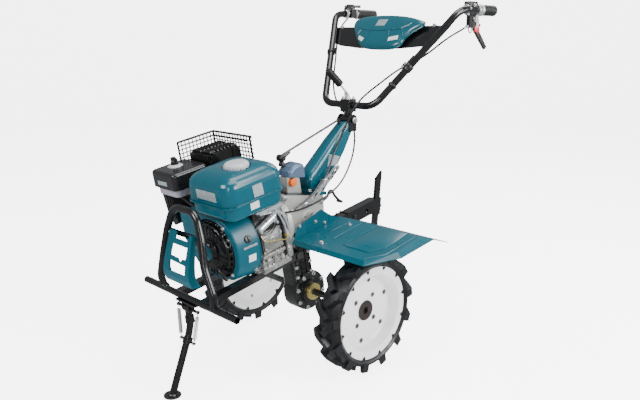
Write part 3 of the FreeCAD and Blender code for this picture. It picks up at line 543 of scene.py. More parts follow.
def wheel_trim(side, sgn):
    body = "wheel_" + side
    # rubber tabs over the flange, both faces
    a = Acc()
    for k in range(12):
        th = 2 * math.pi * (k + 0.42) / 12
        for s in (-1, 1):
            xf = 38.0 if s > 0 else -38.0
            def P(dx, dth, r):
                t = th + dth / r
                return W(sgn * (T + xf + s * dx), r * math.cos(t), RT + r * math.sin(t))
            pts = [P(-1.0, -9.0, 161.2), P(-1.0, 9.0, 161.2), P(-1.0, 2.2, 150.0), P(-1.0, -2.2, 150.0)]
            a.add(prism(pts, WX * (sgn * s * 0.0028)))
    a.make("bead_tabs_" + side, "tyre_rubber", body, bevel=0.0005, seg=1)
    # weld beads and rolled edges on the white disc
    a = Acc()
    o = W(sgn * T, 0, RT)
    hub_face = T + 38 - 37
    def ring(x, r, w):
        path = [W(sgn * x, r * math.cos(2 * math.pi * k / 72), RT + r * math.sin(2 * math.pi * k / 72)) for k in range(73)]
        return tube(path, w, 8, cap=False)
    a.add(ring(T + 37.2, 160.4, 0.0013))
    a.add(ring(T - 37.2, 160.4, 0.0013))
    a.add(ring(hub_face - 2.6, 35.8, 0.0018))
    a.make("rim_beads_" + side, "white_paint", body)
    # grey liners in the disc holes: painted shade of the hole bores
    a = Acc()
    for rr, nn, ph in ((60, 4, 50.0), (HOLE_R, 6, 21.0)):
        for k in range(nn):
            t = R(ph + 360.0 * k / nn)
            q = W(sgn * hub_face, rr * math.cos(t) * 1.0, RT + rr * math.sin(t))
            a.add(lathe(q, WX * sgn, [(-13.0, 6.2), (-13.0, 7.35), (-3.0, 7.35), (-3.0, 9.3), (-2.2, 9.3), (-1.9, 8.9), (-1.9, 6.8), (-2.4, 6.2)], 24, closed=True))
    a.make("hole_shade_liners_" + side, "hole_shade_grey", body)
    a = Acc()
    # inner hub tube end and keeper pin
    a.add(lathe(W(sgn * (T - 30), 0, RT), WX * -sgn, [(0, 22), (0, 31), (2.4, 31), (3.0, 30), (3.0, 22)], 40, closed=True))
    a.make("hub_weld_" + side, "pale_plastic", body)
    a = Acc()
    pin_x = T - 48
    for zz in (1, -1):
        a.add(lathe(W(sgn * pin_x, 0, RT + zz * 27), WZ * zz, [(0, 0), (0, 4.5), (5, 4.5), (6, 3.6), (6, 0)], 14))
    a.add(tube([W(sgn * pin_x, 0, RT + 31) + Vector((0, 9 * math.sin(R(q)) * 0.001, 9 * (1 - math.cos(R(q))) * 0.0006)) for q in range(0, 340, 20)], 0.0009, 6))
    a.make("hub_pin_" + side, "zinc", body)


for side, sgn in (("left", 1), ("right", -1)):
    tyre(side, sgn)
    wheel_trim(side, sgn)

# ================================================================ gear case
a = Acc()
for k in range(8):
    t = R(22.5 + 45 * k)
    for s, xx in ((1, 42), (-1, 26)):
        p = M(s * xx, 64 * math.cos(t), 64 * math.sin(t))
        a.add(hexbolt(p, MX * s, 10, 6, 8.0))
for y in (-52, 26):
    for z in (70, 110, 150):
        for s in (-1, 1):
            a.add(hexbolt(M(s * 34, y * 0.86, z), MX * s, 10, 5, 8))
a.make("gearcase_bolts", "zinc", "chassis")
a = Acc()
for k in range(8):
    t = R(22.5 + 45 * k)
    for s, xx in ((1, 41.4), (-1, 25.4)):
        a.add(lathe(M(s * xx, 64 * math.cos(t), 64 * math.sin(t)), MX * s, [(-8, 0), (-8, 10), (0.4, 10), (0.8, 9.4), (0.8, 0)], 20))
for z in (36, 62, 88, 114, 140):
    for s in (-1, 1):
        a.add(mbox(s * 34 - 2.5, s * 34 + 2.5, -50, 24, z - 2.0, z + 2.0))
for y in (-44, -20, 4, 22):
    for s in (-1, 1):
        a.add(mbox(s * 34 - 2.0, s * 34 + 3.5, y - 2, y + 2, 24, 198))
for k in range(6):
    t = R(40 + 45 * k)
    for s in (-1, 1):
        c, sn = math.cos(t), math.sin(t)
        c0 = M(s * 47, 39 * c, 39 * sn)
        a.add(block(c0, MX * 0.0055, Md(0, c, sn) * 0.0085, Md(0, -sn, c) * 0.002))
a.add(lathe(M(42, 0, 0), MX, [(-1, 50), (3, 50), (4, 49), (4, 46), (-1, 46)], 48, closed=True))
a.make("gearcase_ribs", "black_cast", "chassis", bevel=0.0008, seg=1)
a = Acc()
for s in (-1, 1):
    a.add(lathe(M(s * 60, 0, 0), MX * s, [(0, 22), (0, 26), (2.6, 26), (3.4, 25), (3.4, 22)], 40, closed=True))
a.make("axle_collars", "yellow_zinc", "chassis")

# ================================================================ gear housing
a = Acc()
for (y, z) in ((-78, 262), (-66, 384), (110, 314), (112, 236), (40, 212), (-60, 212)):
    for s in (-1, 1):
        a.add(lathe(M(s * 49, y * 0.93, z), MX * s, [(-6, 0), (-6, 11), (2.6, 10), (3.2, 9), (3.2, 0)], 20))
# parting flange along the middle and raised boss on the near side
for s in (-1, 1):
    a.add(lathe(M(s * 49.5, 30, 275), MX * s, [(-4, 0), (-4, 34), (3.5, 33), (4.5, 31.5), (4.5, 0)], 40))
    a.add(mbox(s * 50 - 2, s * 50 + 2, -70, -40, 268, 274))
    a.add(mbox(s * 50 - 2, s * 50 + 2, 66, 108, 268, 274))
a.make("housing_bosses", "cast_aluminium", "chassis", bevel=0.0009, seg=2)
a = Acc()
for (y, z) in ((-78, 262), (-66, 384), (110, 314), (112, 236), (40, 212), (-60, 212)):
    for s in (-1, 1):
        a.add(hexbolt(M(s * 52.0, y * 0.93, z), MX * s, 10, 5.5, 8))
for k in range(4):
    t = R(45 + 90 * k)
    a.add(hexbolt(M(53.8, 30 + 24 * math.cos(t), 275 + 24 * math.sin(t)), MX, 8, 4.5))
    a.add(hexbolt(M(-53.8, 30 + 24 * math.cos(t), 275 + 24 * math.sin(t)), MX * -1, 8, 4.5))
a.make("housing_bolts", "zinc", "chassis")
# gasket line under the column foot and foot bolts
dk = math.atan(0.354)
dn = Md(0, math.sin(dk), math.cos(dk))
dt = Md(0, math.cos(dk), -math.sin(dk))
a = Acc()
c0 = M(0, 26, 401 - 0.354 * (26 + 69) + 0.4)
a.add(block(c0, MX * 0.0502, dt * 0.088, dn * 0.0012))
a.make("housing_gasket", "black_plastic", "chassis")
a = Acc()
for x in (-34, 34):
    for y in (70, 128):
        zz = 401 - 0.354 * (y + 69) + 12.0 / math.cos(dk)
        a.add(hexbolt(M(x, y, zz), dn, 10, 6, 8.5))
a.make("column_foot_bolts", "zinc", "chassis")
# selector cover: light casting under the blue dome, ball joint, plug knurl
a = Acc()


def deck_z(y):
    return 401 - 0.354 * (y + 69)


a.add(prism([M(-20.9, y, z) for y, z in ((-22.9, deck_z(-22.9)), (44.9, deck_z(44.9)), (44.9, 426.6), (-13.4, 443.4))], MX * 0.0418))
a.make("selector_seat", "cast_aluminium", "chassis", bevel=0.006, seg=4)
a = Acc()
a.add(lathe(M(-20, 5, 478), MZ, [(-4, 0), (-4, 12), (5, 11), (7, 9), (16, 8.6), (16, 0)], 24))
a.add(lathe(M(-20, 5, 501), MX, [(-15, 0), (-15, 8), (-12, 12.4), (10, 12.4), (13, 8), (19, 7.6), (19, 0)], 20))
a.add(tube([M(-20, 5, 501), M(-18, 22, 506), M(-17, 46, 512)], [0.011, 0.0085, 0.0055], 14))
a.make("shift_joint", "dark_steel", "chassis", bevel=0.0005, seg=1)
a = Acc()
for k in range(14):
    t = 2 * math.pi * k / 14
    c = M(29, 2 + 13.6 * math.cos(t), 420 + 13.6 * math.sin(t))
    a.add(block(c, MX * 0.0055, Md(0, math.cos(t), math.sin(t)) * 0.0013, Md(0, -math.sin(t), math.cos(t)) * 0.0016))
a.add(block(M(37.0, 2, 420), MX * 0.0018, MY * 0.0085, MZ * 0.0025))
a.make("oil_plug_knurl", "orange_plastic", "chassis", bevel=0.0005, seg=1)

# ================================================================ engine
# near side: black painted shade in the recess under the tank and in the gaps, side cover, ledge, foot rail
X0 = 94
# black blocks: painted shade in the recess under the tank and behind the linkages
a = Acc()
a.add(mbox(91, 96.0, -246, -124, 326, 414))
a.add(mbox(91, 98.0, -143, -121, 206, 330))
a.add(mbox(91, 95.2, -244, -226, 200, 330))
a.make("engine_recess_shade", "black_plastic", "chassis", bevel=0.0012, seg=1)
# black strips: painted shade lines under the tank and between the ledges
a = Acc()
a.add(mbox(90, 100.5, -250, -120, 415, 426.5))
a.add(mbox(90, 97.0, -240, -146, 254.5, 257.5))
a.add(mbox(90, 97.6, -238, -146, 330.5, 334))
a.add(mbox(90, 108, -240, -148, 213.4, 215.6))
a.make("engine_gap_shade", "black_plastic", "chassis")
a = Acc()
a.add(mbox(X0 - 2, X0 + 12, -224, -146, 262, 318))
a.add(mbox(X0 - 2, X0 + 6, -226, -144, 256, 330))
a.add(lathe(M(X0 + 10, -186, 292), MX, [(0, 0), (0, 19), (4.5, 18), (6, 16), (6, 0)], 40))
a.make("crankcase_cover", "engine_alloy", "chassis", bevel=0.003, seg=3)
a = Acc()
a.add(mbox(X0 - 2, X0 + 19, -241, -144, 244, 254))
a.add(mbox(X0 - 2, X0 + 9, -238, -146, 232, 245))
a.add(mbox(X0 - 2, X0 + 21, -247, -146, 204, 214))
a.add(mbox(X0 - 2, X0 + 16, -244, -150, 214, 233))
for y in (-226, -196, -166):
    a.add(mbox(X0 + 8, X0 + 20, y - 2, y + 2, 212, 246))
for y in (-226, -132):
    for s_ in (-1, 1):
        a.add(lathe(M(s_ * 94, y, 202), MZ, [(-2, 0), (-2, 12), (5, 11), (6, 9), (6, 0)], 20))
# flange ring to the bell, upper casting lugs
a.add(mbox(X0 - 2, X0 + 14, -131, -119, 214, 388))
a.add(mbox(60, X0 + 12, -160, -124, 384, 402))
a.add(mbox(20, 92, -236, -150, 380, 398))
a.add(mbox(30, 84, -205, -150, 396, 414))
a.make("crankcase_ribs", "engine_alloy", "chassis", bevel=0.0018, seg=2)
a = Acc()
for (y, z) in ((-218, 312), (-152, 312), (-218, 268), (-152, 268)):
    a.add(hexbolt(M(X0 + 11.6, y, z), MX, 9, 5))
a.add(hexbolt(M(X0 + 20.6, -204.5, 209), MX, 13, 7, 9.5))
a.add(hexbolt(M(X0 + 18.6, -180, 249), MX, 11, 6, 8))
a.add(hexbolt(M(X0 + 15.6, -160, 224), MX, 12, 6, 9))
a.add(hexbolt(M(X0 + 13.6, -125, 240), MX, 11, 6, 8))
a.add(hexbolt(M(X0 + 13.6, -125, 300), MX, 11, 6, 8))
a.add(hexbolt(M(X0 + 13.6, -125, 352), MX, 11, 6, 8))
for s_ in (-1, 1):
    for y in (-226, -132):
        a.add(hexbolt(M(s_ * 94, y, 208), MZ, 12, 6, 10))
a.make("engine_bolts", "zinc", "chassis")
# bright starter can and its strap, governor arm, yellow dipstick rod, light hoses
a = Acc()
q0, q1 = M(106, -240, 346), M(106, -170, 371)
qd = (q1 - q0).normalized()
ql = (q1 - q0).length * 1000
a.add(lathe(q0, qd, [(0, 0), (0, 10), (1.5, 13), (7, 14.2), (9, 12.4), (ql - 12, 12.4), (ql - 10, 14.0), (ql - 4, 14.0), (ql, 11), (ql, 0)], 36))
a.add(lathe(q1 - qd * 0.001, qd, [(0, 0), (0, 6), (9, 6), (11, 4.5), (11, 0)], 20))
a.make("governor_can", "chrome", "chassis")
a = Acc()
a.add(prism([M(98, -240, 410), M(98, -132, 410), M(98, -132, 402), M(98, -160, 396), M(98, -214, 398), M(98, -240, 404)], MX * 0.016))
a.add(mbox(98, 101, -164, -152, 340, 398))
a.add(prism([M(104, -168, 392), M(104, -140, 384), M(104, -132, 366), M(104, -142, 362), M(104, -152, 374), M(104, -170, 380)], MX * 0.002))
a.make("governor_plate", "plate_silver", "chassis", bevel=0.0005, seg=1)
a = Acc()
for (y, z, af) in ((-226, 401, 10), (-158, 388, 10), (-158, 348, 9), (-138, 372, 9), (-190, 401, 9)):
    a.add(hexbolt(M(106 if z < 400 else 114, y, z), MX, af, 5))
a.make("governor_bolts", "zinc", "chassis")
a = Acc()
a.add(tube([M(98, -246, 344), M(110, -226, 337), M(112, -204, 331), M(107, -182, 334), M(102, -160, 343)], 0.0022, 8))
a.add(tube([M(98, -240, 332), M(109, -220, 326), M(112, -196, 322), M(104, -170, 330), M(99, -148, 336)], 0.0018, 8))
a.add(tube([M(112, -226, 404), M(118, -214, 380), M(116, -204, 366), M(108, -200, 356)], 0.0016, 8))
a.add(tube([M(103, -236, 374), M(110, -214, 392), M(108, -180, 398), M(104, -160, 392)], 0.0015, 8))
a.make("governor_rods", "dark_steel", "chassis")
a = Acc()
a.add(tube([M(98, -142, 392), M(108, -132, 368), M(112, -121, 330), M(110, -113, 292), M(101, -108, 266)], 0.0031, 10))
a.add(tube([M(100, -157, 394), M(112, -146, 366), M(116, -136, 332), M(113, -129, 300), M(108, -126, 276)], 0.0027, 10))
a.make("engine_hoses", "grey_plastic", "chassis")
a = Acc()
a.add(tube([M(99, -226, 322), M(112, -222, 303), M(114, -200, 296), M(113, -160, 286), M(110, -128, 275)], 0.0021, 8))
a.add(lathe(M(108, -127, 290), MX, [(-6, 0), (-6, 8), (8, 8), (10, 6.5), (10, 0)], 20))
a.make("dipstick_rod", "yellow_zinc", "chassis")


def coil(p0, p1, r, wire, turns, seg=12, lead=3):
    u, w, d = frame_of(p1 - p0)
    L_ = (p1 - p0).length
    pts = []
    n = int(turns * seg)
    for i in range(n + 1):
        t = 2 * math.pi * i / seg
        pts.append(p0 + d * (L_ * i / n) + (u * math.cos(t) + w * math.sin(t)) * r)
    return tube(pts, wire, 6)


a = Acc()
a.add(coil(M(104, -166, 386), M(112, -222, 398), 0.0034, 0.0008, 17))
a.make("governor_spring", "chrome", "chassis")
# cylinder fins, head cover, spark lead
a = Acc()
for k in range(9):
    x = -104 - 9 * k
    a.add(mbox(x - 1.3, x + 1.3, -254, -112, 256, 408))
a.make("cylinder_fins", "cast_aluminium", "chassis", bevel=0.0006, seg=1)
a = Acc()
a.add(mbox(-234, -214, -232, -134, 280, 388))
a.make("head_cover", "cast_aluminium", "chassis", bevel=0.005, seg=3)
a = Acc()
for (y, z) in ((-222, 292), (-222, 376), (-144, 292), (-144, 376)):
    a.add(hexbolt(M(-233.6, y, z), MX * -1, 10, 5, 8))
a.make("head_bolts", "zinc", "chassis")
a = Acc()
a.add(tube([M(-226, -140, 330), M(-238, -118, 334), M(-238, -104, 330)], [0.008, 0.0085, 0.007], 14))
a.add(tube([M(-238, -112, 332), M(-226, -104, 352), M(-180, -106, 378), M(-130, -118, 388), M(-100, -150, 392)], 0.0034, 10))
a.make("spark_lead", "black_plastic", "chassis")
# dark under-tank slabs: black painted shade beneath the tank, and hoses
a = Acc()
a.add(mbox(-56, 96, -352, -336 + 96, 421, 430))
a.add(mbox(-40, 120, -236, -150, 414, 429))
a.add(tube([M(60, -330, 430), M(40, -338, 420), M(-30, -344, 424), M(-110, -336, 440), M(-170, -330, 452)], 0.004, 10))
a.make("under_tank_shade_and_hose", "black_plastic", "chassis", bevel=0.0012, seg=1)

# ---- fan shroud trim
a = Acc()
pts = [(-337, 371), (-331, 376), (-268, 361), (-263, 354), (-265, 303), (-271, 299), (-329, 322), (-337, 329)]


def shroud_x(z):
    """near-side radius of the shroud at a height"""
    return math.sqrt(max(0.0, 124.0 ** 2 - (z - 304) ** 2))


# curved patch on the barrel: strips between two angles
def patch(y0, y1, a0, a1, r0, r1, t, n=10, m=2):
    """patch on the slightly coned barrel; y mm, angle about the crankshaft from +X"""
    v, f = [], []
    for lay in (0, 1):
        for i in range(n + 1):
            ang = R(a0 + (a1 - a0) * i / n)
            for j in range(m + 1):
                y = y0 + (y1 - y0) * j / m
                base = 119.0 + 10.0 * (y + 342.0) / 85.0
                rr = base + (t if lay else -0.6)
                v.append(M(rr * math.cos(ang), y, 304 + rr * math.sin(ang)))
    q = (n + 1) * (m + 1)
    def idx(l, i, j):
        return l * q + i * (m + 1) + j
    for i in range(n):
        for j in range(m):
            f.append((idx(1, i, j), idx(1, i + 1, j), idx(1, i + 1, j + 1), idx(1, i, j + 1)))
            f.append((idx(0, i, j), idx(0, i, j + 1), idx(0, i + 1, j + 1), idx(0, i + 1, j)))
    for i in range(n):
        f.append((idx(0, i, 0), idx(0, i + 1, 0), idx(1, i + 1, 0), idx(1, i, 0)))
        f.append((idx(0, i, m), idx(1, i, m), idx(1, i + 1, m), idx(0, i + 1, m)))
    for j in range(m):
        f.append((idx(0, 0, j), idx(1, 0, j), idx(1, 0, j + 1), idx(0, 0, j + 1)))
        f.append((idx(0, n, j), idx(0, n, j + 1), idx(1, n, j + 1), idx(1, n, j)))
    return v, f


a = Acc().add(patch(-304, -277, -18, -6, 0, 0, 0.5))
a.make("blank_label_shroud", "plate_white", "chassis")
a = Acc().add(patch(-318, -267, 5.5, 8.5, 0, 0, 2.0))
a.make("switch_slot", "zinc", "chassis", bevel=0.0005, seg=1)
a = Acc()
sw = R(18.5)
sp = M(124.5 * math.cos(sw), -294, 304 + 124.5 * math.sin(sw))
sd = Md(math.cos(sw), 0, math.sin(sw))
a.add(lathe(sp, sd, [(-2, 0), (-2, 13), (3.0, 12.6), (4.2, 11.4), (4.2, 0)], 32))
a.add(block(sp + sd * 0.0055, sd * 0.003, (sd.cross(MY)).normalized() * 0.0095, MY * 0.0024))
a.make("engine_switch", "black_plastic", "chassis", bevel=0.0006, seg=2)
# raised lip round the mouth, back flange
a = Acc()
path = [M(110.5 * math.cos(2 * math.pi * k / 96), -342, 304 + 110.5 * math.sin(2 * math.pi * k / 96)) for k in range(97)]
a.add(lathe(M(0, -342, 304), MY, [(0.3, 101.6), (-1.4, 103.0), (-1.4, 107.5), (0.3, 109)], 96, closed=True))
a.add(lathe(M(0, -259.5, 304), MY, [(0, 127), (0, 130.4), (2.4, 130.4), (2.4, 127)], 96, closed=True))
a.make("shroud_lip", "teal_shroud", "chassis")
a = Acc()
for ang in (-46, -128, 52, 128, 190):
    a.add(hexbolt(M(106.5 * math.cos(R(ang)), -343.0, 304 + 106.5 * math.sin(R(ang))), MY * -1, 8, 4, 6.5))
for ang in (-40, -62):
    rr = 128.5
    a.add(hexbolt(M(rr * math.cos(R(ang)), -268, 304 + rr * math.sin(R(ang))), Md(math.cos(R(ang)), 0, math.sin(R(ang))), 10, 5, 8))
a.make("shroud_bolts", "zinc", "chassis")

# ---- recoil starter: perforated dome in front of the flywheel
def shell(prof, n, hole, o, d):
    u, w, d = frame_of(d)
    v, f = [], []
    for al, r in prof:
        for k in range(n):
            t = 2 * math.pi * k / n
            v.append(o + d * al * 0.001 + (u * math.cos(t) + w * math.sin(t)) * r * 0.001)
    for i in range(len(prof) - 1):
        for k in range(n):
            if hole(i, k):
                continue
            k2 = (k + 1) % n
            f.append((i * n + k, i * n + k2, (i + 1) * n + k2, (i + 1) * n + k))
    return v, f


RP = [(0, 99.5), (-2, 94.5), (-8, 91.5), (-14, 90), (-18, 88), (-21.5, 84.5), (-23.5, 79), (-24.6, 73), (-25.0, 69), (-25.2, 63), (-25.3, 59), (-25.4, 53),
      (-25.5, 49), (-25.6, 43), (-25.8, 39)]
HOLE_ROWS = {2: 0, 5: 1, 7: 0, 9: 1, 11: 0}
NS = 120


def hole(i, k):
    if i not in HOLE_ROWS:
        return False
    if i == 2:
        return k % 5 in (1, 2, 3)
    return k % 5 in (1, 2) and (k // 10) % 6 != 5


a = Acc().add(shell(RP, NS, hole, M(0, -336, 304), MY))
ob = a.make("recoil_cage", "cage_plastic", "chassis", rep=["recoil_starter"], solid=0.0022)
a = Acc()
a.add(lathe(M(0, -361.8, 304), MY * -1, [(-14, 0), (-14, 39.5), (2, 39.5), (5, 37.5), (9, 36.6), (13, 35.6), (15, 33.5), (15.2, 30), (13.6, 28.5), (13.6, 0)], 56))
a.make("recoil_boss", "cage_plastic", "chassis")
a = Acc()
a.add(lathe(M(0, -375.6, 304), MY * -1, [(-1, 0), (-1, 28.2), (0.7, 28.2), (1.1, 27.4), (1.1, 0)], 48))
a.make("recoil_disc", "teal_plastic", "chassis")
a = Acc()
a.add(lathe(M(0, -288, 304), MY * -1, [(0, 0), (0, 99), (6, 99), (8, 92), (22, 88), (26, 80), (26, 60), (34, 56), (38, 20), (38, 0)], 72))
for k in range(28):
    t = 2 * math.pi * k / 28
    c = M(90 * math.cos(t), -314, 304 + 90 * math.sin(t))
    dd = Md(math.cos(t), 0, math.sin(t))
    tt = Md(-math.sin(t), 0, math.cos(t))
    q = (dd * 0.8 + tt * 0.6).normalized()
    a.add(block(c, q * 0.009, MY * 0.012, MY.cross(q) * 0.0011))
a.make("flywheel_fan", "rod_steel", "chassis", bevel=0.0004, seg=1)
a = Acc()
for k in range(3):
    t = R(30 + 120 * k)
    a.add(hexbolt(M(95.5 * math.cos(t), -339.5, 304 + 95.5 * math.sin(t)), MY * -1, 8, 4, 7))
a.make("recoil_bolts", "zinc", "chassis")
# pull handle at the side of the dome
a = Acc()
hp = M(66, -352, 232)
hd = Md(0.75, -0.35, -0.30)
hp = M(58, -362, 246)
a.add(lathe(hp, Md(-0.62, -0.25, -0.74), [(-8, 0), (-8, 7), (-2, 9), (8, 9.6), (12, 8.0), (14, 0)], 20))
hx = Md(0.75, 0.0, -0.66)
a.add(tube([M(58, -369, 236) - hx * 0.024, M(58, -370, 236) - hx * 0.016, M(58, -370, 236) + hx * 0.016, M(58, -369, 236) + hx * 0.024], [0.005, 0.0072, 0.0072, 0.005], 14))
a.make("pull_handle", "black_plastic", "chassis")

# ---- fuel tank trim
capx, capy = 80.0, -261.0
a = Acc()
n = 72
prof_r = []
for al, r in ((0, 39.0), (16, 39.0), (20.5, 37.4), (23.6, 33.5), (25.0, 24), (25.8, 0)):
    prof_r.append((al, r))
v, f = lathe(M(capx, capy, 559), MZ, [(0, 0)] + prof_r, n)
vv = []
for i, p in enumerate(v):
    vv.append(p)
a.add((v, f))
for k in range(24):
    t = 2 * math.pi * k / 24
    a.add(block(M(capx + 39.0 * math.cos(t), capy + 39.0 * math.sin(t), 568), Md(math.cos(t), math.sin(t), 0) * 0.0018,
                Md(-math.sin(t), math.cos(t), 0) * 0.0027, MZ * 0.0075))
a.make("fuel_cap_ribbed", "pale_plastic", "chassis", bevel=0.0006, seg=2, rep=["fuel_cap"])
a = Acc()
a.add(lathe(M(capx, capy, 555.5), MZ, [(0, 41), (0, 50), (3.5, 50), (5.2, 48.5), (5.2, 41)], 56, closed=True))
a.add(lathe(M(capx, capy, 556.5), MZ, [(0, 0), (0, 42), (2.4, 42), (2.4, 0)], 56))
a.make("filler_neck", "teal_paint", "chassis", bevel=0.0004, seg=1)


def tank_patch(cs, name, matn, t=0.5, x=163.0):
    """thin label on the near side of the tank, which leans in slightly above the seam"""
    a = Acc()
    def xs(z):
        return x - 1.2 * max(0.0, min(1.0, (z - 476) / 44.0)) if z < 520 else x - 1.2 - 1.3 * (z - 520) / 12.0
    pts = [M(xs(z) - 0.3, y, z) for y, z in cs]
    a.add(prism(pts, MX * (t + 0.3) * 0.001))
    a.make(name, matn, "chassis")


tank_patch([(-276, 522), (-238, 522), (-236, 484), (-274, 484)], "blank_label_tank_a", "plate_silver", 0.6)
a = Acc()
a.add(prism([M(157.0 - 0.2, y, z) for y, z in ((-290, 470), (-256, 470), (-256, 447), (-290, 447))], MX * 0.0007))
a.make("blank_label_tank_b", "plate_white", "chassis")
a = Acc()
a.add(prism([M(x, -372.2, z) for x, z in ((6, 522), (104, 522), (104, 492), (6, 492))], MY * -0.0018))
a.make("blank_plate_tank", "plate_silver", "chassis", bevel=0.0005, seg=1)

# ---- air cleaner trim
a = Acc()
a.add(lathe(M(-210, -298, 541), MZ, [(-2, 0), (-2, 27), (3, 26), (5, 21), (8, 17), (8, 0)], 32))
a.make("cleaner_collar", "pale_plastic", "chassis", bevel=0.0005)
a = Acc()
a.add(lathe(M(-210, -298, 548), MZ, [(-2, 0), (-2, 13), (12, 12.5), (16, 9), (16, 0)], 20))
for s in (-1, 1):
    a.add(block(M(-210 + s * 10, -298, 561), MX * 0.008, MY * 0.0034, MZ * 0.010))
a.add(lathe(M(-210, -298, 560), MZ, [(0, 0), (0, 7), (13, 6), (15, 4), (15, 0)], 16))
a.make("cleaner_knob", "black_plastic", "chassis", bevel=0.0012, seg=2, rep=[])
a = Acc()
a.add(mbox(-263.0, -120.0, -368.0, -223.0, 500, 507))
a = Acc()
a.add(prism([M(x, -366.4, z) for x, z in ((-222, 512), (-170, 512), (-170, 498), (-222, 498))], MY * -0.0018))
a.make("cleaner_plate", "plate_silver", "chassis", bevel=0.0004, seg=1)
a = Acc()
# ribbed duct below the tray
for k in range(5):
    a.add(mbox(-250 + 14 * k, -247 + 14 * k, -349, -344, 372 + 0, 458)) if k > 1 else None
for k in range(4):
    z = 380 + 20 * k
    a.add(mbox(-236 + 0, -187, -348.5, -345, z, z + 2.5))
a.make("duct_ribs", "black_plastic", "chassis", bevel=0.0006, seg=1)

# black blocks round the cap rim: painted shade in its notches
a = Acc()
for k in range(12):
    t = 2 * math.pi * (k + 0.35) / 12
    a.add(block(M(capx + 39.2 * math.cos(t), capy + 39.2 * math.sin(t), 563.2), Md(math.cos(t), math.sin(t), 0) * 0.0019,
                Md(-math.sin(t), math.cos(t), 0) * 0.0040, MZ * 0.0034))
a.make("fuel_cap_notch_shade", "black_plastic", "chassis")

# ---- muffler: louvred heat shield and the wire basket
a = Acc()
for k in range(8):
    y = -214 + 15.0 * k
    for x0, x1 in ((-212, -166), (-158, -112)):
        a.add(tube([M(x0, y, 571.0), M(x0 + 3, y, 574.4), M(x1 - 3, y, 574.4), M(x1, y, 571.0)], 0.0042, 10))
for k in range(7):
    z = 462 + 15.0 * k
    a.add(tube([M(-223.0, -206, z), M(-226.4, -202, z), M(-226.4, -122, z), M(-223.0, -118, z)], 0.0040, 8))
a.add(mbox(-226.5, -97.5, -224, -220, 450, 566))
a.add(tube([M(-224 + 0, -161, 520), M(-98, -161, 520)], 0.0028, 8))
a.make("muffler_louvres", "muffler_black", "chassis", bevel=0.0003, seg=1)
a = Acc()
for x in (-206, -118):
    for y in (-206, -116):
        a.add(hexbolt(M(x, y, 572), MZ, 9, 4, 7))
a.make("muffler_bolts", "dark_steel", "chassis")
a = Acc()
# basket wires: panel x=-262, panel y=-85, short return at x=-45
zz0, zz1 = 487, 601
r_w = 0.0021
xs = [-262.5 + k * (217.0 / 14) for k in range(15)]
ys = [-85 - k * (156.0 / 10) for k in range(11)]
zs = [zz0 + k * ((zz1 - zz0) / 8.0) for k in range(9)]
for z in zs:
    rr = r_w * (1.9 if z in (zs[0], zs[-1]) else 1.0)
    a.add(tube([M(-263 + 0.4, -240, z), M(-263 + 0.4, -92, z), M(-258, -85.6, z), M(-52, -85.6, z), M(-45.4, -90, z), M(-45.4, -97, z)], rr, 6))
for x in xs[1:-1]:
    a.add(tube([M(x, -85.0 - 0.4, zz0), M(x, -85.0 - 0.4, zz1)], r_w, 6))
for y in ys[1:]:
    a.add(tube([M(-262.6, y, zz0), M(-262.6, y, zz1)], r_w, 6))
for x, y in ((-262.6, -240), (-45.4, -96), (-261.5, -87)):
    a.add(tube([M(x, y, zz0), M(x, y, zz1)], r_w * 1.7, 8))
a.add(tube([M(-252, -231, 589), M(-252, -97, 589), M(-60, -97, 589)], r_w * 1.5, 6))
a.add(mbox(-200, -180, -101.5, -86, 500, 503))
a.add(mbox(-118, -98, -101.5, -86, 500, 503))
a.make("muffler_basket", "black_paint", "chassis", rep=["muffler_guard"])

# ================================================================ front frame
a = Acc()
for s in (-1, 1):
    # weld at the loop feet, tube end rims, rail bolts
    a.add(lathe(W(s * 134, -499, 318), WZ, [(-3, 11), (-3, 15.5), (1, 14.5), (4, 12.4), (4, 11)], 24, closed=True))
    a.add(lathe(W(s * 246.9, -499, 309), WX * s, [(-3, 8.6), (-3, 11.25), (0.0, 11.2), (0.0, 8.6)], 28, closed=True))
a.make("frame_welds", "black_paint", "chassis")
a = Acc()
for s in (-1, 1):
    for y in (-226, -132):
        a.add(hexbolt(M(s * 68, y, 190), MZ, 12, 6, 10))
        a.add(hexbolt(M(s * 68, y, 168), MZ * -1, 12, 6, 10))
a.make("rail_bolts", "zinc", "chassis")
a = Acc()
for s in (-1, 1):
    a.add(hexbolt(W(s * 84, -500.4, 516), WY * -1, 10, 6, 8.5))
a.make("guard_bolts", "zinc", "chassis")

# ---- stand: coil springs, pivot bolt, foot bead
a = Acc()
for sx in (-1, 1):
    p0 = W(sx * 54, -503, 277)
    p1 = W(sx * 35, -510.5, 168)
    d = (p1 - p0).normalized()
    a.add(coil(p0 + d * 0.016, p1 - d * 0.014, 0.0054, 0.00115, 34, 12))
    # hooks at both ends
    for p, q in ((p0, p0 + d * 0.016), (p1, p1 - d * 0.014)):
        u, w, _ = frame_of(WX)
        loop = [p + (WY * math.cos(R(t)) + WZ * math.sin(R(t))) * 0.0062 for t in range(-60, 250, 22)]
        a.add(tube(loop, 0.00115, 6))
        a.add(tube([p + (q - p) * 0.38, q], 0.00115, 6))
a.make("stand_spring_coils", "chrome", "front_stand", rep=["stand_springs"])
a = Acc()
a.add(tube([W(0, -577, 4) + Vector((0.0266 * math.cos(R(t)), 0.0266 * math.sin(R(t)), 0)) for t in range(0, 361, 12)], 0.0011, 8, cap=False))
a.add(lathe(W(0, -576.0, 4), Vector((0, 0.18, 1)), [(-1, 11), (-1, 15.5), (1.5, 14.5), (4, 12), (4, 11)], 24, closed=True))
a.make("stand_foot_trim", "dark_steel", "front_stand")
a = Acc()
a.add(hexbolt(W(14.6, -511, 172), WX, 10, 6))
a.make("stand_collar_bolt", "dark_steel", "front_stand")

# ================================================================ column
ca_, sa_ = 0.810, 0.586
a = Acc()


def col_pt(x, s, n):
    return M(x, 100 + ca_ * s - sa_ * n, 380 + sa_ * s + ca_ * n)


cd = Md(0, -sa_, ca_)
cu_ = Md(0, ca_, sa_)


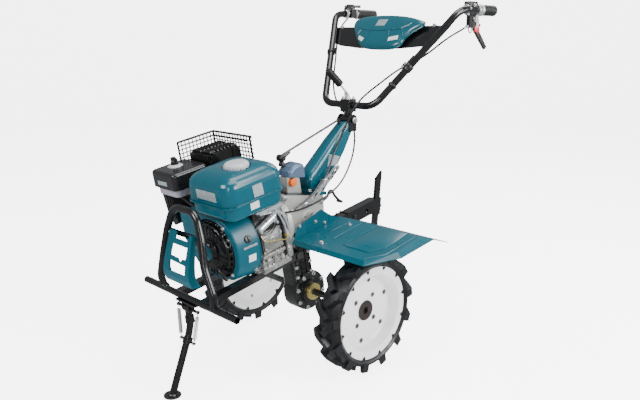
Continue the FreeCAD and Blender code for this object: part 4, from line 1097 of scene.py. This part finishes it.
# rolled front of the pressed column, with its bulb at the foot
a = Acc()
rings = []
for s_, n0, b_, wd in ((-27, 8.0, 2.0, 0.55), (-22, 13.0, 5.0, 0.82), (-12, 21.5, 8.0, 0.96), (0, 31.0, 9.5, 1.0), (14, 35.0, 9.0, 1.0),
                       (30, 34.3, 7.0, 1.0), (57, 32.8, 5.5, 1.0), (100, 30.8, 5.0, 1.0), (171.7, 27.6, 4.6, 1.0), (220, 22.6, 4.2, 1.0),
                       (262, 18.4, 3.6, 0.99), (271, 17.4, 1.6, 0.94)):
    hw = (37.0 - (s_ + 60.0) * 11.0 / 390.0 + 0.5) * wd
    ring = []
    for j in range(25):
        t = math.pi * j / 24
        c_, n_ = math.cos(t), math.sin(t)
        xx = hw * math.copysign(abs(c_) ** 0.72, c_)
        ring.append(col_pt(xx, s_, n0 - 17.0 + (17.0 + b_) * n_ ** 0.72))
    rings.append(ring)
v, f = [], []
for r_ in rings:
    v += r_
m_ = 25
for i in range(len(rings) - 1):
    for q in range(m_):
        q2 = (q + 1) % m_
        f.append((i * m_ + q, i * m_ + q2, (i + 1) * m_ + q2, (i + 1) * m_ + q))
f.append(tuple(range(m_ - 1, -1, -1)))
f.append(tuple((len(rings) - 1) * m_ + q for q in range(m_)))
a.add((v, f))
a.make("column_front", "teal_paint", "chassis", angle=50)


# blank label on the near side of the column
a = Acc()


def col_w(y, z):
    """half width of the tapered column"""
    return 37.0 - ((y - 100) * 0.810 + (z - 380) * 0.586 + 60.0) * 11.0 / 390.0


a.add(prism([M(col_w(y, z) - 0.3, y, z) for y, z in ((190, 466), (243, 442), (226, 415), (172, 424))], MX * 0.0012))
a.make("blank_label_column", "plate_silver", "chassis")

# ---- link bar: dark blocks of painted shade in its slots, and bolts
a = Acc()
for (y, z) in ((182, 404), (164, 389), (112, 362)):
    a.add(block(M(60.6, y, z), MX * 0.0006, Md(0, 0.78, 0.62) * 0.0065, Md(0, -0.62, 0.78) * 0.0026))
a.make("link_slot_shade", "dark_steel", "chassis")
a = Acc()
for (y, z) in ((200, 417), (135, 383)):
    a.add(hexbolt(M(55, y, z), MX, 12, 6, 10))
a.add(hexbolt(M(55, 26, 330), MX, 13, 7, 11))
a.add(hexbolt(M(55, 104, 367), MX, 9, 5, 7))
a.make("link_bolts", "zinc", "chassis")
a = Acc()
a.add(coil(M(58, 128, 384), M(60, 74, 342), 0.0042, 0.0009, 22))
a.make("link_spring", "chrome", "chassis")

# ================================================================ head and handlebar
a = Acc()
for s in (-1, 1):
    a.add(hexbolt(W(s * 38, 236, 813), WX * s, 14, 8, 11)) if s > 0 else a.add(nut(W(-36, 236, 813), WX * -1, 14, 8, 8, 5))
a.make("tilt_bolt", "zinc", "chassis")
a = Acc()
for s in (-1, 1):
    for y in (-13, 13):
        a.add(nut(W(s * 15, 241 + y, 889), WZ, 9, 5, 5.0, 5)) if s < 0 or y > 0 else None
a.add(lathe(W(0, 238, 889), WZ, [(0, 0), (0, 11), (3, 11), (4, 9), (12, 8), (12, 0)], 24))
a.make("clamp_nuts", "zinc", "handlebar")
a = Acc()
# split line of the clamp block
a.add(block(W(0, 241, 868), WX * 0.0246, WY * 0.0216, WZ * 0.0008))
a.make("clamp_split", "dark_steel", "handlebar")
a = Acc()
sp0, sp1 = W(-33, 262, 872), W(-33, 262, 915)
a.add(coil(sp0, sp1, 0.0052, 0.0011, 14))
a.add(tube([W(-33, 262, 866), W(-33, 262, 922)], 0.0028, 10))
a.make("clamp_spring", "chrome", "handlebar")
a = Acc()
# ribbed sleeve on the lock lever
g0, g1 = W(-20.5, 220.9, 941.4), W(-41, 173.9, 994.6)
gd = (g1 - g0).normalized()
GL = (g1 - g0).length * 1000
prof_g = [(0, 0), (0, 11.4)]
k = 1.0
while k < GL - 3:
    prof_g += [(k, 12.8), (k + 0.8, 14.4), (k + 2.4, 14.4), (k + 3.2, 12.8)]
    k += 4.2
prof_g += [(GL - 1, 13.0), (GL, 10.8), (GL, 0)]
a.add(lathe(g0, gd, prof_g, 24))
a.make("lock_sleeve", "grip_rubber", "handlebar", rep=["lock_lever_grip"])


def grip(side, sx):
    a = Acc()
    o = W(sx * 297, 613, 1211)
    L_ = 121.0
    pr = [(0, 13.4), (0, 20.4), (2.2, 21.4), (5.0, 21.4), (7.0, 19.6), (10, 19.2)]
    k = 14.0
    while k < L_ - 24:
        pr += [(k, 19.2), (k + 1.2, 20.2), (k + 3.2, 20.2), (k + 4.4, 19.2)]
        k += 6.6
    pr += [(L_ - 16, 19.4), (L_ - 9, 20.6), (L_ - 4, 20.2), (L_ - 1, 17.5), (L_, 12), (L_, 0)]
    a.add(lathe(o, WY, pr, 36))
    a.make("grip_sleeve_" + side, "grip_rubber", "handlebar", rep=["grip_" + side])


grip("left", 1)
grip("right", -1)

# console: seam, ridges and blank badge on the cover; plate bolts
slope = math.atan2(1210 - 868, 497 - 241)


def BP(x, y, z):
    """bar plane: x across, y up the bar, z square to it on the front"""
    return W(x, 241 + y * math.cos(slope) - z * math.sin(slope), 868 + y * math.sin(slope) + z * math.cos(slope))


BN = Vector((0, -math.sin(slope), math.cos(slope)))
BU = Vector((0, math.cos(slope), math.sin(slope)))
a = Acc()
for s in (-1, 1):
    a.add(hexbolt(BP(-246 if s < 0 else 212, 368, -13), BN, 10, 4, 8))
    a.add(hexbolt(BP(-246 if s < 0 else 212, 368, -15.5), BN * -1, 10, 4, 8))
a.make("plate_bolts", "zinc", "handlebar")


OUT = [(-157, 350), (-165, 374), (-153, 390), (-110, 400), (-37, 404), (60, 399), (121, 388), (168, 374), (181, 364), (175, 351), (143, 326),
       (121, 296), (113, 268), (81, 252), (12, 249), (-49, 254), (-86, 272), (-122, 307)]
OC = (8.0, 332.0)


def closed_curve(pts, m=8):
    n = len(pts)
    out = []
    for i in range(n):
        p0, p1, p2, p3 = (pts[(i + q) % n] for q in (-1, 0, 1, 2))
        for k in range(m):
            t = k / m
            out.append(tuple(0.5 * (2 * b + (c - a) * t + (2 * a - 5 * b + 4 * c - d) * t * t + (3 * b - a - 3 * c + d) * t ** 3)
                             for a, b, c, d in zip(p0, p1, p2, p3)))
    return out


CURVE = closed_curve(OUT)
RINGS = [(1.0, -2.0), (1.0, 4.0), (0.992, 7.0), (0.965, 10.4), (0.92, 13.0), (0.85, 15.0), (0.75, 16.6), (0.6, 17.9), (0.42, 18.8), (0.22, 19.2)]


def dome_z(x, y):
    """height of the cover above the bar plane"""
    dx, dy = x - OC[0], y - OC[1]
    r = math.hypot(dx, dy)
    if r < 1e-6:
        return 19.3
    a = math.atan2(dy, dx)
    q = min(CURVE, key=lambda c: abs(math.remainder(math.atan2(c[1] - OC[1], c[0] - OC[0]) - a, 2 * math.pi)))
    t = r / math.hypot(q[0] - OC[0], q[1] - OC[1])
    prev = (0.0, 19.3)
    for tt, zz in reversed(RINGS[1:]):
        if t <= tt:
            return prev[1] + (zz - prev[1]) * (t - prev[0]) / max(1e-6, tt - prev[0])
        prev = (tt, zz)
    return 4.0


a = Acc()
v, f = [], []
n = len(CURVE)
for tt, zz in RINGS:
    for x, y in CURVE:
        v.append(BP(OC[0] + (x - OC[0]) * tt, OC[1] + (y - OC[1]) * tt, zz))
for i in range(len(RINGS) - 1):
    for k in range(n):
        k2 = (k + 1) % n
        f.append((i * n + k, i * n + k2, (i + 1) * n + k2, (i + 1) * n + k))
v.append(BP(OC[0], OC[1], 19.3))
for k in range(n):
    f.append(((len(RINGS) - 1) * n + k, (len(RINGS) - 1) * n + (k + 1) % n, len(v) - 1))
f.append(tuple(range(n - 1, -1, -1)))
a.add((v, f))
a.make("console_shell", "teal_plastic", "handlebar", rep=["console_cover"], angle=50)
# lip round the foot of the cover
a = Acc()
a.add(tube([BP(OC[0] + (x - OC[0]) * 1.004, OC[1] + (y - OC[1]) * 1.004, 2.2) for x, y in CURVE + CURVE[:1]], 0.0022, 8, cap=False))
a.make("console_lip", "teal_plastic", "handlebar")


def ridge(pts, r, name, matn="teal_plastic", body="handlebar", n=6):
    out = []
    for (xa, ya), (xb, yb) in zip(pts, pts[1:]):
        for k in range(n):
            t = k / n
            x, y = xa + (xb - xa) * t, ya + (yb - ya) * t
            out.append(BP(x, y, dome_z(x, y) + 0.2))
    x, y = pts[-1]
    out.append(BP(x, y, dome_z(x, y) + 0.2))
    a = Acc()
    a.add(tube(out, [r * (0.45 if k in (0, len(out) - 1) else 1.0) for k in range(len(out))], 8))
    return a.make(name, matn, body)


def dquad(p00, p10, p11, p01, t=0.8, n=8, m=4):
    """thin blank label lying on the cover"""
    v, f = [], []
    for lay in (0, 1):
        for i in range(n + 1):
            for j in range(m + 1):
                u_, w_ = i / n, j / m
                x = (1 - u_) * (1 - w_) * p00[0] + u_ * (1 - w_) * p10[0] + u_ * w_ * p11[0] + (1 - u_) * w_ * p01[0]
                y = (1 - u_) * (1 - w_) * p00[1] + u_ * (1 - w_) * p10[1] + u_ * w_ * p11[1] + (1 - u_) * w_ * p01[1]
                v.append(BP(x, y, dome_z(x, y) + (t if lay else -0.6)))
    q = (n + 1) * (m + 1)
    idx = lambda l, i, j: l * q + i * (m + 1) + j
    for i in range(n):
        for j in range(m):
            f.append((idx(1, i, j), idx(1, i + 1, j), idx(1, i + 1, j + 1), idx(1, i, j + 1)))
            f.append((idx(0, i, j), idx(0, i, j + 1), idx(0, i + 1, j + 1), idx(0, i + 1, j)))
    for i in range(n):
        f.append((idx(0, i, 0), idx(0, i + 1, 0), idx(1, i + 1, 0), idx(1, i, 0)))
        f.append((idx(0, i, m), idx(1, i, m), idx(1, i + 1, m), idx(0, i + 1, m)))
    for j in range(m):
        f.append((idx(0, 0, j), idx(1, 0, j), idx(1, 0, j + 1), idx(0, 0, j + 1)))
        f.append((idx(0, n, j), idx(0, n, j + 1), idx(1, n, j + 1), idx(1, n, j)))
    return v, f


ridge([(-132, 366), (-118, 346), (-96, 334), (-60, 328), (0, 325), (60, 328), (96, 334), (122, 348), (140, 360)], 0.0024, "console_ridge_a")
ridge([(-40, 328), (-50, 302), (-54, 280)], 0.0019, "console_ridge_b")
ridge([(40, 328), (50, 302), (54, 280)], 0.0019, "console_ridge_c")
ridge([(98, 334), (108, 316), (112, 304)], 0.0019, "console_ridge_d")
ridge([(-98, 334), (-108, 318), (-112, 310)], 0.0019, "console_ridge_e")
a = Acc()
a.add(dquad((-36, 346), (8, 346), (12, 376), (-34, 376)))
a.make("console_badge_blank", "plate_silver", "handlebar")
a = Acc()
a.add(dquad((-104, 291), (-74, 276), (-66, 290), (-98, 304)))
a.add(dquad((58, 276), (100, 285), (96, 302), (56, 292)))
a.make("console_pads", "plate_white", "handlebar")

# hand controls
a = Acc()
a.add(hexbolt(W(306.4, 590, 1176), WX, 10, 5, 8))
a.add(hexbolt(W(291.0, 572, 1160), WX * -1, 8, 4, 6))
a.add(hexbolt(W(312.5, 574, 1226), WX, 9, 5, 7))
a.make("clutch_bolts", "zinc", "handlebar")
a = Acc()
# band over the start of the grip, blade, eye of the cable
a.add(lathe(W(297, 608, 1211), WY, [(0, 13), (0, 20.5), (2, 22.4), (14, 22.4), (15, 21.2), (24, 21.2), (25, 22.4), (33, 22.4), (35, 20.8), (35, 13)], 40, closed=True))
a.add(prism([W(303, 596, 1200), W(303, 606, 1198), W(303, 619, 1152), W(303, 606, 1146)], WX * 0.0025))
a.add(tube([W(299, 606, 1200), W(303, 614, 1188), W(305, 619, 1166), W(303, 614, 1146)], 0.0036, 10))
ring = [W(297, 578 + 11 * math.cos(R(t)), 1140 + 11 * math.sin(R(t))) for t in range(0, 361, 20)]
a.add(tube(ring, 0.0026, 8, cap=False))
a.make("clutch_blade", "zinc", "handlebar", bevel=0.0004, seg=1)
a = Acc()
# rounded perch on top of the bar
a.add(block(W(297, 576, 1229), WX * 0.0135, WY * 0.026, WZ * 0.0105))
a.add(lathe(W(297, 556, 1232), WZ, [(-6, 0), (-6, 13), (3, 12), (6, 8), (6, 0)], 28))
a.make("clutch_perch", "black_plastic", "handlebar", bevel=0.0045, seg=3)
a = Acc()
v, f = prism([W(289.5, 606, 1156), W(289.5, 628, 1150), W(289.5, 634, 1138), W(289.5, 622, 1126), W(289.5, 600, 1136), W(289.5, 598, 1150)], WX * 0.015)
a.add((v, f))
a.add(tube([W(297, 618, 1154), W(297, 632, 1152), W(297, 642, 1159)], [0.0058, 0.0064, 0.005], 14))
a.make("clutch_catch", "red_plastic", "handlebar", bevel=0.0022, seg=3)
a = Acc()
# throttle lever on the right bar: black body and arm, bright clamps either side
a.add(lathe(W(-297, 584, 1230), WZ, [(-8, 0), (-8, 15), (4, 15), (8, 13), (11, 9), (11, 0)], 32))
a.add(block(W(-297, 566, 1228), WX * 0.011, WY * 0.020, WZ * 0.008))
a.add(tube([W(-297, 584, 1240), W(-291, 600, 1242), W(-281, 622, 1242)], [0.0048, 0.0056, 0.0062], 14))
a.add(tube([W(-297, 580, 1236), W(-300, 560, 1240), W(-303, 546, 1241)], [0.006, 0.0055, 0.0045], 14))
a.make("throttle_body", "black_plastic", "handlebar", bevel=0.0016, seg=2)
a = Acc()
a.add(hexbolt(W(-297, 584, 1240.6), WZ, 9, 4))
for sx, ys in ((-1, (548, 606)), (1, (548,))):
    for y in ys:
        a.add(lathe(W(sx * 297, y, 1211), WY, [(-6, 12.9), (-6, 16.6), (-4.5, 17.6), (4.5, 17.6), (6, 16.6), (6, 12.9)], 36, closed=True))
        a.add(hexbolt(W(sx * 297 + 8, y, 1211 - 15), WZ * -1, 8, 6))
        a.add(hexbolt(W(sx * 297 + 15.5, y, 1214), WX, 8, 5))
a.make("throttle_clamps", "zinc", "handlebar")

# cable clips on the legs
def leg(k):
    return (122 + 184 * k, 241 + 256 * k, 868 + 342 * k)


a = Acc()
for sx, k, h in ((1, 0.22, 5), (1, 0.40, 12), (-1, 0.55, 8)):
    p = leg(k)
    d = Vector((184 * sx, 256, 342)).normalized()
    q = W(p[0] * sx, p[1], p[2])
    a.add(lathe(q, d, [(-h, 12.9), (-h, 15.8), (-h + 1.5, 16.6), (h - 1.5, 16.6), (h, 15.8), (h, 12.9)], 30, closed=True))
    if k > 0.3:
        e = d.cross(WY).normalized() * (1 if sx > 0 else -1)
        a.add(block(q + e * 0.019, e * 0.006, d * h * 0.001, d.cross(e) * 0.005))
a.make("leg_clips", "black_plastic", "handlebar", bevel=0.0008, seg=1)
a = Acc()
for sx, k in ((1, 0.385), (1, 0.415)):
    p = leg(k)
    d = Vector((184 * sx, 256, 342)).normalized()
    e = d.cross(WY).normalized()
    q = W(p[0] * sx, p[1], p[2])
    a.add(hexbolt(q + e * 0.0125 + WY * -0.004, e, 10, 6, 8))
p = leg(0.455)
d = Vector((184, 256, 342)).normalized()
e = d.cross(WY).normalized()
q = W(p[0], p[1], p[2])
a.add(block(q + e * 0.016, e * 0.0012, d * 0.022, d.cross(e) * 0.006))
a.make("leg_clamp", "zinc", "handlebar", bevel=0.0004, seg=1)

# ================================================================ control cables, split where they pass the head
CLUTCH = [(297.0, 558.6, 1152.0), (295.0, 516.7, 1135.6), (286.3, 476.1, 1118.4), (266.3, 444.4, 1094.1), (239.6, 422.5, 1065.2),
          (209.9, 400.9, 1039.3), (184.2, 370.9, 1018.1), (167.6, 332.2, 1002.0), (152.9, 296.4, 979.2), (134.7, 264.7, 952.9),
          (112.2, 236.2, 926.2), (91.4, 209.1, 896.9), (73.1, 190.0, 860.7), (57.6, 179.3, 819.8), (45.3, 164.9, 779.0),
          (41.1, 144.8, 739.1), (42.8, 119.4, 702.0), (50.1, 92.4, 666.8), (61.7, 63.9, 634.1), (66.7, 28.6, 606.6),
          (69.4, -9.1, 582.0), (71.6, -49.4, 562.3), (71.6, -91.2, 545.6), (66.0, -132.4, 528.2)]
THROTTLE = [(-297.0, 560.0, 1192.0), (-292.2, 521.1, 1167.8), (-282.1, 489.2, 1136.2), (-267.0, 462.5, 1101.8), (-249.0, 439.3, 1066.2),
            (-233.5, 418.9, 1027.9), (-218.7, 396.9, 990.2), (-200.9, 371.9, 955.6), (-177.5, 347.3, 924.5), (-149.1, 323.3, 897.2),
            (-117.3, 300.4, 873.0), (-81.6, 285.9, 847.9), (-44.3, 280.6, 821.2), (-8.3, 273.1, 793.4), (20.9, 256.5, 762.1),
            (40.1, 234.5, 726.5), (51.7, 212.9, 687.5), (57.8, 187.0, 649.8), (63.1, 156.6, 615.5), (67.2, 120.2, 587.6),
            (68.0, 78.8, 567.4), (68.2, 35.3, 552.1), (69.4, -9.7, 542.0), (74.0, -55.3, 537.8), (86.4, -99.7, 538.8),
            (97.3, -144.2, 544.2), (103.3, -189.7, 548.9), (104.0, -235.6, 546.0)]


def held_cable(name, route, cut_z, top, bottom, node):
    pts = nurbs(route, 8)
    i = min(range(len(pts)), key=lambda q: abs(pts[q].z - cut_z))
    up, dn = pts[:i + 1], pts[i:]
    for part, ps, b0, b1, s0, s1 in (("upper", up, "bar_head", "handlebar", cut_z + 4, top), ("lower", dn, "chassis", "bar_head", bottom, cut_z - 4)):
        a = Acc()
        a.add(tube([W(*p) for p in ps], 0.0035, 12))
        ob = a.make(name + "_" + part, "cable_sheath", None, ride=False, rep=[node])
        tuple(W(0, 0, s0))
        tuple(W(0, 0, s1))
        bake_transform(ob)


held_cable("clutch_line", CLUTCH, 842, 900, 640, "clutch_cable")
held_cable("throttle_line", THROTTLE, 822, 880, 640, "throttle_cable")
a = Acc()
a.add(lathe(W(297, 558.6, 1152), Vector((-0.05, -0.93, -0.36)), [(-1, 0), (-1, 5), (10, 5), (12, 3.6), (22, 3.4), (24, 2.6), (24, 0)], 18))
a.make("clutch_adjuster", "zinc", "handlebar")
a = Acc()
d_ = (Vector(THROTTLE[-1]) - Vector(THROTTLE[-2])).normalized()
d_ = (Vector(CLUTCH[-1]) - Vector(CLUTCH[-2])).normalized()
a.add(lathe(W(66, -132.4, 528.2), d_ * -1, [(-6, 0), (-6, 5.0), (12, 5.0), (14, 3.6), (24, 3.4), (24, 0)], 18))
a.make("cable_ends", "zinc", "chassis")

# ================================================================ fenders
for side, sx in (("left", 1), ("right", -1)):
    def F(x, y, z):
        return M(sx * x, y, z)
    a = Acc()
    zt = 250.2
    for x0, y0, y1 in ((158, 30, 136), (205, -10, 138), (268, -12, 138)):
        a.add(tube([F(x0, y0, zt - 1.6), F(x0, y0 + 8, zt - 0.4), F(x0, y1 - 8, zt - 0.4), F(x0, y1, zt - 1.6)], [0.0014, 0.0024, 0.0024, 0.0014], 10))
    a.add(tube([F(398, -78, zt - 1.2), F(404, -72, zt - 0.6), F(438, -16, zt - 0.6), F(437, 132, zt - 0.6), F(437, 141, zt - 1.6)], [0.0014, 0.0024, 0.0024, 0.0024, 0.0014], 10))
    a.make("fender_ribs_" + side, "teal_sheet", "chassis")
    a = Acc()
    pts = [F(272, -33, zt - 0.6), F(383, -36, zt - 0.6), F(414, 18, zt - 0.6), F(405, 140, zt - 0.6), F(284, 140, zt - 0.6), F(280, -8, zt - 0.6)]
    a.add(prism(pts, MZ * 0.0026))
    a.make("fender_panel_" + side, "teal_sheet", "chassis", bevel=0.0016, seg=3)
    a = Acc()
    a.add(hexbolt(F(195, -56, zt - 0.2), MZ, 11, 6, 8))
    a.add(hexbolt(F(178, 106, zt - 0.2), MZ, 8, 4, 6))
    for y, z in ((-52, 292), (24, 280), (66, 260)):
        a.add(hexbolt(F(92, y, z - 4), MX * sx, 8, 4.0, 6))
    a.make("fender_bolts_" + side, "zinc", "chassis")

# ================================================================ hitch and stake
a = Acc()
LEAN = R(5.4)


def SF(x, y, z):
    """stake frame: z along the stake from its top, y to the rear"""
    return W(x, 427.5 + y * math.cos(LEAN) + z * math.sin(LEAN), 590 - y * math.sin(LEAN) + z * math.cos(LEAN))


SN = Vector((0, math.cos(LEAN), -math.sin(LEAN)))
a.add(nut(SF(0, 19, -143), SN, 14, 8, 8, 4))
a.add(lathe(M(20, 300, 176), MX, [(0, 0), (0, 9), (3, 9), (5, 7), (5, 0)], 20))
a.add(nut(M(20, 250, 178), MX, 14, 8, 9, 5))
a.add(nut(M(20, 190, 178), MX, 14, 8, 9, 5))
a.add(hexbolt(M(-20, 250, 178), MX * -1, 14, 8, 11))
a.add(hexbolt(M(-20, 190, 178), MX * -1, 14, 8, 11))
a.add(nut(M(8, 214, 203), MZ, 14, 8, 9, 8))
a.make("hitch_bolts", "dark_steel", "chassis")
a = Acc()
for y in (150, 214, 262):
    a.add(mbox(-23, 23, y - 3, y + 3, 196, 206.5))
a.make("hitch_straps", "black_paint", "chassis", bevel=0.001, seg=1)
